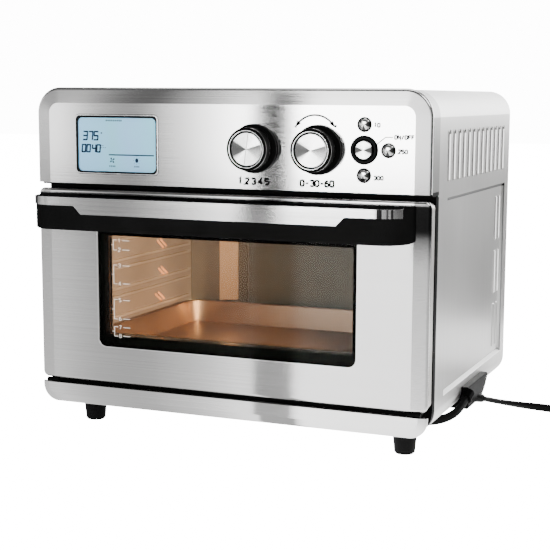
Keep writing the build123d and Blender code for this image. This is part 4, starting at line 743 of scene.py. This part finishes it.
def makeFasciaPrint(s):
    bm = bmesh.new()
    level, thick = s["level"], s["thick"]
    arc = arcAt(*s["arc"])
    addRibbon(bm, arc, s["arcWidth"], level, thick)
    for tip, near in ((arc[0], arc[2]), (arc[-1], arc[-3])):
        tip = Vector(tip)
        along = (tip - Vector(near)).normalized()
        aside = Vector((-along.y, along.x)) * s["headLength"] * s["headSlim"]
        root = tip - along * s["headLength"] * 0.5
        addPlate(bm, [root + aside, root - aside, tip + along * s["headLength"] * 0.5], level, thick)
    for (x, z), size, cross in s["signs"]:
        addRibbon(bm, [(x - size / 2, z), (x + size / 2, z)], s["arcWidth"], level, thick)
        if cross:
            addRibbon(bm, [(x, z - size / 2), (x, z + size / 2)], s["arcWidth"], level, thick)
    for words, centre, pitch in s["numbers"]:
        addText(bm, words, centre, *s["numberSize"], level, thick, 0, pitch)
    addRibbon(bm, s["leader"], s["leaderWidth"], level, thick, material=1)
    for words, centre in s["captions"]:
        addText(bm, words, centre, *s["captionSize"], level, thick, 1)
    inks = [inkMaterial("blackInk", evenly(0.003)), inkMaterial("greyInk", evenly(0.03))]
    finishPiece("fasciaPrint", bm, inks, "cabinet")


makeFasciaPrint(fasciaPrintSet)
print("fascia print made")


displaySet = {
    "level": -0.13602,
    "thick": 0.00005,
    "frameLevel": -0.13682,
    "outer": ((-0.1110, 0.2840), 0.0878, 0.0548, 0.0042),  # centre, width, height, corner
    "inner": ((-0.1103, 0.2838), 0.0838, 0.0510, 0.0044),
    "rows": [  # digits and their places, height of the row's middle, size of a digit
        ([("3", -0.1448), ("7", -0.1389), ("5", -0.1330)], 0.2921, (0.0042, 0.0078)),
        ([("0", -0.1466), ("0", -0.1414), ("4", -0.1354), ("0", -0.1305)], 0.2800, (0.0036, 0.0068)),
    ],
    "stroke": 0.0015,
    "overlap": 0.2,
    "slant": 0.10,
    "degree": ((-0.1271, 0.2948), 0.0008, 12),
    "rule": [(-0.1193, 0.2742), (-0.0706, 0.2743)],
    "ruleWidth": 0.0012,
    "dashes": [(-0.1275, 0.2829), (-0.1257, 0.2829), (-0.1275, 0.2811), (-0.1253, 0.2811), (-0.1231, 0.2809)],
    "dashSize": (0.0007, 0.0005),  # half length, width
    "words": [(-0.1226, -0.1046, 0.3067, 9), (-0.1193, -0.1121, 0.2634, 4), (-0.0921, -0.0862, 0.2635, 4)],
    "wordShare": (0.2, 0.85),
    "wordWidth": 0.0014,
    "fan": (-0.1156, 0.2690, 0.0030),
    "blade": ((0.1, -0.6), (0.85, -0.30), (1.0, 0.05), (0.85, 0.40), (0.3, 0.6)),  # reach, swing
    "bladeTurn": 0.09,
    "bulb": (-0.0891, 0.2693, 0.0020),
    "bulbShape": (0.85, 1.1),
    "rayReach": (1.5, 2.0),
    "rayWidth": 0.00035,
}
segmentLines = {
    "a": ((0, 2), (1, 2)), "b": ((1, 2), (1, 1)), "c": ((1, 1), (1, 0)), "d": ((0, 0), (1, 0)),
    "e": ((0, 1), (0, 0)), "f": ((0, 2), (0, 1)), "g": ((0, 1), (1, 1)),
}
segmentDigits = {
    "0": "abcdef", "1": "bc", "2": "abged", "3": "abgcd", "4": "fgbc",
    "5": "afgcd", "6": "afgedc", "7": "abc", "8": "abcdefg", "9": "abcdfg",
}


def addDigit(bm, digit, x, middle, size, s):
    wide, high = size
    for segment in segmentDigits[digit]:
        ends = []
        for u, v in segmentLines[segment]:
            rise = (v - 1) * high / 2
            ends.append(Vector((x + (u - 0.5) * wide + rise * s["slant"], middle + rise)))
        reach = (ends[1] - ends[0]).normalized() * s["stroke"] * s["overlap"]
        addRibbon(bm, [ends[0] - reach, ends[1] + reach], s["stroke"], s["level"], s["thick"], material=1)


def addSigns(bm, s):
    level, thick = s["level"], s["thick"]
    x, z, radius = s["fan"]
    for blade in range(4):
        turn = math.tau * (blade / 4 + s["bladeTurn"])
        spots = [(radius * reach, turn + swing) for reach, swing in s["blade"]]
        addPlate(bm, [(x + far * math.cos(at), z + far * math.sin(at)) for far, at in spots], level, thick, 1)
    x, z, radius = s["bulb"]
    wide, high = s["bulbShape"]
    addPlate(bm, [(x + wide * u, z + high * v) for u, v in circleAt((0.0, 0.0), radius, 16)], level, thick, 1)
    rays = [circleAt((x, z), radius * reach, 8) for reach in s["rayReach"]]
    for ray in zip(*rays):
        addRibbon(bm, ray, s["rayWidth"], level, thick, material=2)


def makeDisplay(s):
    bm = bmesh.new()
    level, thick = s["level"], s["thick"]
    addRing(bm, roundedOutline(*s["outer"]), roundedOutline(*s["inner"]), s["frameLevel"], thick)
    for digits, middle, size in s["rows"]:
        for digit, x in digits:
            addDigit(bm, digit, x, middle, size, s)
    addPlate(bm, circleAt(*s["degree"]), level, thick, 1)
    addRibbon(bm, s["rule"], s["ruleWidth"], level, thick, material=1)
    half, width = s["dashSize"]
    for x, z in s["dashes"]:
        addRibbon(bm, [(x - half, z), (x + half, z)], width, level, thick, material=2)
    for first, last, z, count in s["words"]:
        step = (last - first) / count
        for index in range(count):
            line = [(first + step * (index + share), z) for share in s["wordShare"]]
            addRibbon(bm, line, s["wordWidth"], level, thick, material=2)
    addSigns(bm, s)
    edge = inkMaterial("displayEdge", (0.006, 0.007, 0.009))
    segment = inkMaterial("segmentInk", (0.015, 0.030, 0.060))
    pale = inkMaterial("paleInk", (0.05, 0.08, 0.12))
    finishPiece("displayMarks", bm, [edge, segment, pale], "cabinet")


makeDisplay(displaySet)
print("display made")


windowPrintSet = {
    "level": -0.135,
    "thick": 0.00005,
    "x": -0.1163,
    "hook": 0.0038,
    "nib": 0.0026,
    "stroke": 0.00055,
    "brackets": [(0.1924, 0.1826), (0.1680, 0.1496), (0.1342, 0.1150), (0.1073, 0.0980)],
    "inset": 0.0004,
    "number": 0.0026,  # from the hook to the number's middle
    "line": (0.0060, 0.0135),  # from the hook to the line's ends
    "size": (0.0034, 0.0005),
}


def makeWindowPrint(s):
    bm = bmesh.new()
    level, thick = s["level"], s["thick"]
    x = s["x"]
    tip = x + s["hook"]
    count = 1
    for top, bottom in s["brackets"]:
        middle = (top + bottom) / 2
        addRibbon(bm, [(tip, top), (x, top), (x, bottom), (tip, bottom)], s["stroke"], level, thick)
        addRibbon(bm, [(x - s["nib"], middle), (x, middle)], s["stroke"], level, thick)
        for z in (top - s["inset"], bottom + s["inset"]):
            addText(bm, str(count), (tip + s["number"], z), *s["size"], level, thick)
            addRibbon(bm, [(tip + end, z) for end in s["line"]], s["stroke"], level, thick)
            count += 1
    # the white print also glows: painted light
    finishPiece("windowPrint", bm, [inkMaterial("whiteInk", (0.85, 0.80, 0.74), 0.25)], "door")


makeWindowPrint(windowPrintSet)
print("window print made")


lipSet = {
    "centre": (0.0, 0.1469),
    "width": 0.2662,
    "height": 0.1194,
    "corner": 0.0081,
    "border": 0.0011,
    "level": -0.1359,
    "thick": 0.0003,
    "steps": 10,
}


def makeWindowLip(s):
    bm = bmesh.new()
    border, steps = s["border"], s["steps"]
    width, height, corner = s["width"], s["height"], s["corner"]
    inner = roundedOutline(s["centre"], width, height, corner, steps)
    outer = roundedOutline(s["centre"], width + 2 * border, height + 2 * border, corner + border, steps)
    addRing(bm, outer, inner, s["level"], s["thick"])
    finishPiece("windowLip", bm, [finishes["button_chrome"]], "door")


makeWindowLip(lipSet)
print("window lip made")


# painted highlight: pairs of slanted bright bars on the chamber's left wall
lightBarSet = {
    "wall": -0.1709,
    "thick": 0.0003,
    "spots": [(0.069, 0.1648), (0.071, 0.1330), (0.063, 0.1050)],
    "bars": [(-0.0035, 0.0), (0.0035, 0.001)],
    "reach": (0.0075, 0.0048),
    "width": 0.0026,
}


def finishOnWall(name, bm, wall, ink):
    for vert in bm.verts:  # drawn facing front, turned to face right
        vert.co = (wall - vert.co.y, vert.co.x, vert.co.z)
    finishPiece(name, bm, [ink], "cabinet")


def makeWallSlots(s):
    bm = bmesh.new()
    along, rise = s["reach"]
    for y, z in s["spots"]:
        for stepY, stepZ in s["bars"]:
            path = [(y + stepY - along, z + stepZ + rise), (y + stepY + along, z + stepZ - rise)]
            addRibbon(bm, path, s["width"], 0.0, s["thick"])
    # the bars glow: painted highlight
    finishOnWall("wallLightBars", bm, s["wall"], inkMaterial("lightBarGlow", (0.80, 0.42, 0.22), 0.25))


makeWallSlots(lightBarSet)
print("wall slots made")


returnSet = {
    "left": -0.1280,
    "right": -0.1095,
    "proud": 0.014,
    "wall": 0.1438,
    "low": 0.0937,
    "high": 0.2315,
    "round": 0.0007,
}


def makeRearReturn(s):
    bm = bmesh.new()
    outline = [(s["left"], s["wall"]), (s["left"], s["wall"] - s["proud"]), (s["right"], s["wall"])]
    face = bm.faces.new([bm.verts.new((x, y, s["low"])) for x, y in outline])
    extrudeBy(bm, [face], (0.0, 0.0, s["high"] - s["low"]))
    bmesh.ops.bevel(bm, geom=list(bm.edges), offset=s["round"], affect="EDGES", segments=2, profile=0.5,
                    material=-1)
    finishPiece("rearReturn", bm, [metal("shadedReturnSteel")], "cabinet")


makeRearReturn(returnSet)
print("rear return made")


flankSet = {
    "thick": 0.00015,
    "wall": 0.2000,
    "hoods": {"first": -0.0755, "pitch": 0.0181, "count": 13, "low": 0.2560, "high": 0.2972, "width": 0.0034},
    "dots": {"z": 0.2995, "radius": 0.0019, "steps": 16},
    "rows": {
        "wall": 0.1970, "columns": [0.130, 0.1445], "low": [0.1235, 0.1813], "length": 0.0447, "width": 0.0022,
    },
}


def makeFlankMarks(s):
    hoods, rows, dots = s["hoods"], s["rows"], s["dots"]
    places = [hoods["first"] + index * hoods["pitch"] for index in range(hoods["count"])]
    # painted highlights: bright glowing strips along the louvre hoods
    highlightInk = inkMaterial("hoodHighlight", (0.90, 0.90, 0.89), 1.8)
    bm = bmesh.new()
    for y in places:
        addRibbon(bm, [(y, hoods["low"]), (y, hoods["high"])], hoods["width"], 0.0, s["thick"])
    finishOnWall("hoodHighlights", bm, s["wall"], highlightInk)
    bm = bmesh.new()
    for y in rows["columns"]:
        for low in rows["low"]:
            addRibbon(bm, [(y, low), (y, low + rows["length"])], rows["width"], 0.0, s["thick"])
    finishOnWall("rearHoodHighlights", bm, rows["wall"], highlightInk)
    # painted shade: dark dots standing for the shaded louvre openings
    bm = bmesh.new()
    for y in places:
        addPlate(bm, circleAt((y, dots["z"]), dots["radius"], dots["steps"]), 0.0, s["thick"])
    finishOnWall("hoodShadeDots", bm, s["wall"], inkMaterial("dotShade", evenly(0.004)))


makeFlankMarks(flankSet)
print("flank marks made")


knobSet = {
    "face": -0.136,
    "profile": [  # radius, height off the fascia, material of the band that ends here
        (0.0060, 0.0004, 0), (0.0214, 0.0004, 0), (0.0222, 0.0008, 0), (0.0224, 0.0014, 0),
        (0.0224, 0.0036, 0), (0.0220, 0.0043, 0), (0.0199, 0.0046, 0), (0.0195, 0.0050, 0),
        (0.0194, 0.0060, 0), (0.0194, 0.0096, 0), (0.0194, 0.0102, 1), (0.0194, 0.0180, 0),
        (0.0194, 0.0186, 1), (0.0192, 0.0194, 0), (0.0188, 0.0199, 0), (0.0169, 0.0200, 0),
        (0.0163, 0.0200, 1), (0.0161, 0.0196, 0), (0.0160, 0.0184, 0), (0.0157, 0.0181, 0),
        (0.0154, 0.0182, 0), (0.0152, 0.0188, 1), (0.0144, 0.0190, 1), (0.0110, 0.0186, 1),
    ],
    "steps": 96,
    "weld": 0.000002,
    "dials": [  # piece, centre, the node it stands for, body
        ("functionKnob", (0.033, 0.2833), "function_knob", "function_dial"),
        ("temperatureKnob", (0.095, 0.2833), "temperature_knob", "temperature_dial"),
    ],
}
buttonRingSet = {
    "level": -0.136,
    "thick": 0.0004,
    "outer": 0.0067,
    "inner": 0.0053,
    "steps": 48,
    "centres": [(0.1384, 0.3064), (0.1608, 0.2840), (0.1384, 0.2616)],
}
pointerSet = {
    "line": [(0.0311, 0.2695), (0.0349, 0.2971)],
    "width": 0.0005,
    "level": -0.1555,
    "thick": 0.00006,
}


def makeKnob(name, centre, node, body, s):
    bm = bmesh.new()
    rows = s["profile"]
    spots = [(centre[0] + radius, s["face"] - height, centre[1]) for radius, height, _ in rows]
    profile = [bm.verts.new(spot) for spot in spots]
    edges = [bm.edges.new(pair) for pair in zip(profile, profile[1:])]
    bmesh.ops.spin(bm, geom=profile + edges, cent=(centre[0], 0.0, centre[1]), axis=(0.0, 1.0, 0.0),
                   angle=math.tau, steps=s["steps"], use_merge=True, use_duplicate=False)
    bmesh.ops.remove_doubles(bm, verts=bm.verts, dist=s["weld"])
    bands = [((a[0] + b[0]) / 2, (a[1] + b[1]) / 2, b[2]) for a, b in zip(rows, rows[1:])]
    for face in bm.faces:
        middle = face.calc_center_median()
        reach = math.hypot(middle.x - centre[0], middle.z - centre[1])
        height = s["face"] - middle.y
        face.material_index = min(bands, key=lambda band: math.hypot(band[0] - reach, band[1] - height))[2]
        face.smooth = True
    piece = finishPiece(name, bm, [finishes["knob_metal"], finishes["button_chrome"]], body)
    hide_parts(node)


def makeButtonRings(s):
    bm = bmesh.new()
    for centre in s["centres"]:
        outer, inner = (circleAt(centre, s[rim], s["steps"]) for rim in ("outer", "inner"))
        addRing(bm, outer, inner, s["level"], s["thick"])
    finishPiece("buttonRings", bm, [finishes["knob_metal"]], "cabinet")


def makePointer(s):
    bm = bmesh.new()
    addRibbon(bm, s["line"], s["width"], s["level"], s["thick"])
    finishPiece("knobPointer", bm, [inkMaterial("pointerInk", evenly(0.03))], "function_dial")


for dial in knobSet["dials"]:
    makeKnob(*dial, knobSet)
makeButtonRings(buttonRingSet)
makePointer(pointerSet)
print("knobs made")


floorSet = {"half": 8.0, "level": 0.0, "tone": 0.10, "paper": 0.9, "glow": 16.0}
screenSet = {
    "eye": (0.503, 0.936),  # the camera mirrored in the front panels
    "panel": 1.072,  # from there to the panels
    "y": -2.0,
    "sides": (-2.9, 1.6),
    "low": 0.12,
    "high": 1.2,
    "power": 18.5,
    "floorLevel": 0.002,
    "floorNear": 0.10,
    "floorPower": 3.1,
    "floorEven": 0.22,  # how much of the floor's light is the same all over
    "bands": [  # place across the front panels, brightness there
        (-0.500, 0.10), (-0.300, 0.16), (-0.205, 0.20), (-0.180, 0.27), (-0.165, 0.19), (-0.150, 0.12),
        (-0.135, 0.075), (-0.115, 0.05), (-0.095, 0.038), (-0.075, 0.055), (-0.060, 0.12), (-0.035, 0.21),
        (-0.010, 0.38), (0.015, 0.66), (0.031, 0.70), (0.034, 0.0), (0.069, 0.0), (0.073, 0.9), (0.080, 1.2),
        (0.200, 1.1), (0.260, 0.60), (0.420, 0.22), (0.700, 0.14),
    ],
}
lightSet = [  # place, target, size, power
    ("keyLight", (1.7, -0.9, 2.1), (0.0, 0.0, 0.2), 1.4, 30.0),
    ("topLight", (-0.2, 0.3, 2.4), (0.0, 0.0, 0.2), 1.8, 26.0),
]
glowSet = [
    {
        "name": "ovenGlow", "place": (0.152, -0.02, 0.195), "target": (-0.171, 0.010, 0.083), "spread": 74.0,
        "blend": 0.9, "radius": 0.012, "power": 12.5, "colour": (1.0, 0.63, 0.37),
    },
    {
        "name": "cornerGlow", "place": (0.10, -0.05, 0.19), "target": (-0.154, 0.129, 0.084), "spread": 6.0,
        "blend": 1.0, "radius": 0.004, "power": 14.0, "colour": (1.0, 0.70, 0.34),
    },
]
cardSet = [  # place, target, size, tone, glow
    ("rearCard", (1.1, 3.2, 1.1), (0.2, 0.0, 0.25), (4.0, 1.7), 0.8, 7.5),
    ("rearFloor", (0.75, 0.33, 0.003), (0.75, 0.33, 1.0), (1.4, 0.56), 0.7, 2.2),
    ("louvreCard", (1.72, 1.28, 0.45), (0.2, 0.0, 0.28), (0.7, 0.9), 0.8, 6.0),
    ("leftCard", (-2.9, -1.3, 0.7), (-0.2, -0.1, 0.2), (1.4, 1.2), 0.8, 1.6),
]
worldSet = {"backdrop": 14.0, "room": 0.15}


def cameraOnly(tree, shown, other):
    path = tree.nodes.new("ShaderNodeLightPath")
    mix = tree.nodes.new("ShaderNodeMixShader")
    tree.links.new(path.outputs["Is Camera Ray"], mix.inputs["Fac"])
    tree.links.new(other, mix.inputs[1])
    tree.links.new(shown, mix.inputs[2])
    return mix.outputs["Shader"]


def makeFloor(s):
    bm = bmesh.new()
    place = Matrix.Translation((0.0, 0.0, s["level"]))
    bmesh.ops.create_grid(bm, x_segments=1, y_segments=1, size=s["half"], matrix=place)
    material, tree, shader, spot = startMaterial("floorPaper")
    cloud = addNoise(tree, spot, evenly(3.0), 2.0)
    addTone(tree, shader, cloud, evenly(s["tone"]), evenly(s["tone"] * 1.1))
    shader.inputs["Roughness"].default_value = 0.9
    paper = tree.nodes.new("ShaderNodeBsdfDiffuse")
    paper.inputs["Color"].default_value = (*evenly(s["paper"]), 1.0)
    glow = tree.nodes.new("ShaderNodeEmission")
    glow.inputs["Strength"].default_value = s["glow"]
    total = tree.nodes.new("ShaderNodeAddShader")
    tree.links.new(paper.outputs["BSDF"], total.inputs[0])
    tree.links.new(glow.outputs["Emission"], total.inputs[1])
    surface = cameraOnly(tree, total.outputs["Shader"], shader.outputs["BSDF"])
    tree.links.new(surface, tree.nodes["Material Output"].inputs["Surface"])
    mesh = meshFrom(bm, "floor")
    mesh.materials.append(material)
    floor = bpy.data.objects.new("floor", mesh)
    bpy.context.collection.objects.link(floor)


def hangCard(name, bm, material):
    mesh = meshFrom(bm, name)
    mesh.materials.append(material)
    card = bpy.data.objects.new(name, mesh)
    bpy.context.collection.objects.link(card)
    card.visible_camera = False
    card.visible_shadow = False


def screenLight(name, power, even, s):
    first, last = s["bands"][0][0], s["bands"][-1][0]
    span = last - first
    material, tree, shader, place = startMaterial(name)
    parts = splitPlace(tree, place)
    eyeX, eyeY = s["eye"]
    aside = addMath(tree, "SUBTRACT", parts["X"], eyeX)
    away = addMath(tree, "SUBTRACT", eyeY, parts["Y"])
    across = addMath(tree, "MULTIPLY_ADD", addMath(tree, "DIVIDE", aside, away), s["panel"], eyeX)
    along = addMath(tree, "MULTIPLY_ADD", across, 1.0 / span, -first / span)
    stops = [((spot - first) / span, evenly(light * (1.0 - even) + even)) for spot, light in s["bands"]]
    tone = addRamp(tree, along, stops)
    rise = addMath(tree, "MULTIPLY", parts["Z"], 1.0 / s["high"])
    fade = addMath(tree, "MULTIPLY_ADD", rise, -1.0, 1.0)  # dark at the top
    shader.inputs["Base Color"].default_value = (0.0, 0.0, 0.0, 1.0)
    shader.inputs["Specular IOR Level"].default_value = 0.0
    tree.links.new(tone, shader.inputs["Emission Color"])
    tree.links.new(addMath(tree, "MULTIPLY", fade, power), shader.inputs["Emission Strength"])
    return material


def makeScreen(s):
    left, right = s["sides"]
    far, near, flat = s["y"], s["floorNear"], s["floorLevel"]
    upright = [(left, far, s["low"]), (right, far, s["low"]), (right, far, s["high"]), (left, far, s["high"])]
    lying = [(left, far, flat), (right, far, flat), (right, near, flat), (left, near, flat)]
    sheets = (("screen", upright, s["power"], 0.0), ("screenFloor", lying, s["floorPower"], s["floorEven"]))
    for name, corners, power, even in sheets:
        bm = bmesh.new()
        bm.faces.new([bm.verts.new(corner) for corner in corners])
        hangCard(name, bm, screenLight(name, power, even, s))


def aimAt(place, target):
    turn = (Vector(target) - Vector(place)).to_track_quat("-Z", "Y").to_matrix().to_4x4()
    return Matrix.Translation(place) @ turn


def hangLight(data, place, target):
    light = bpy.data.objects.new(data.name, data)
    light.matrix_world = aimAt(place, target)
    bpy.context.collection.objects.link(light)


def makeLights(lights):
    for name, place, target, size, power in lights:
        data = bpy.data.lights.new(name, "AREA")
        data.size = size
        data.energy = power
        hangLight(data, place, target)


def makeGlow(lamps):
    for s in lamps:
        data = bpy.data.lights.new(s["name"], "SPOT")
        data.spot_size = math.radians(s["spread"])
        data.spot_blend = s["blend"]
        data.shadow_soft_size = s["radius"]
        data.energy = s["power"]
        data.color = s["colour"]
        hangLight(data, s["place"], s["target"])


def makeCards(cards):
    for name, place, target, (width, height), tone, glow in cards:
        bm = bmesh.new()
        turn = aimAt(place, target) @ Matrix.Diagonal((width, height, 1.0, 1.0))
        bmesh.ops.create_grid(bm, x_segments=1, y_segments=1, size=0.5, matrix=turn)
        hangCard(name, bm, inkMaterial(name, evenly(tone), glow))


def makeWorld(s):
    world = bpy.data.worlds.new("studio")
    world.use_nodes = True
    tree = world.node_tree
    backdrop = tree.nodes["Background"]
    room = tree.nodes.new("ShaderNodeBackground")
    for light, strength in ((backdrop, s["backdrop"]), (room, s["room"])):
        light.inputs["Color"].default_value = (1.0, 1.0, 1.0, 1.0)
        light.inputs["Strength"].default_value = strength
    surface = cameraOnly(tree, backdrop.outputs["Background"], room.outputs["Background"])
    tree.links.new(surface, tree.nodes["World Output"].inputs["Surface"])
    bpy.context.scene.world = world


makeFloor(floorSet)
makeScreen(screenSet)
makeLights(lightSet)
makeGlow(glowSet)
makeCards(cardSet)
makeWorld(worldSet)
print("studio set")
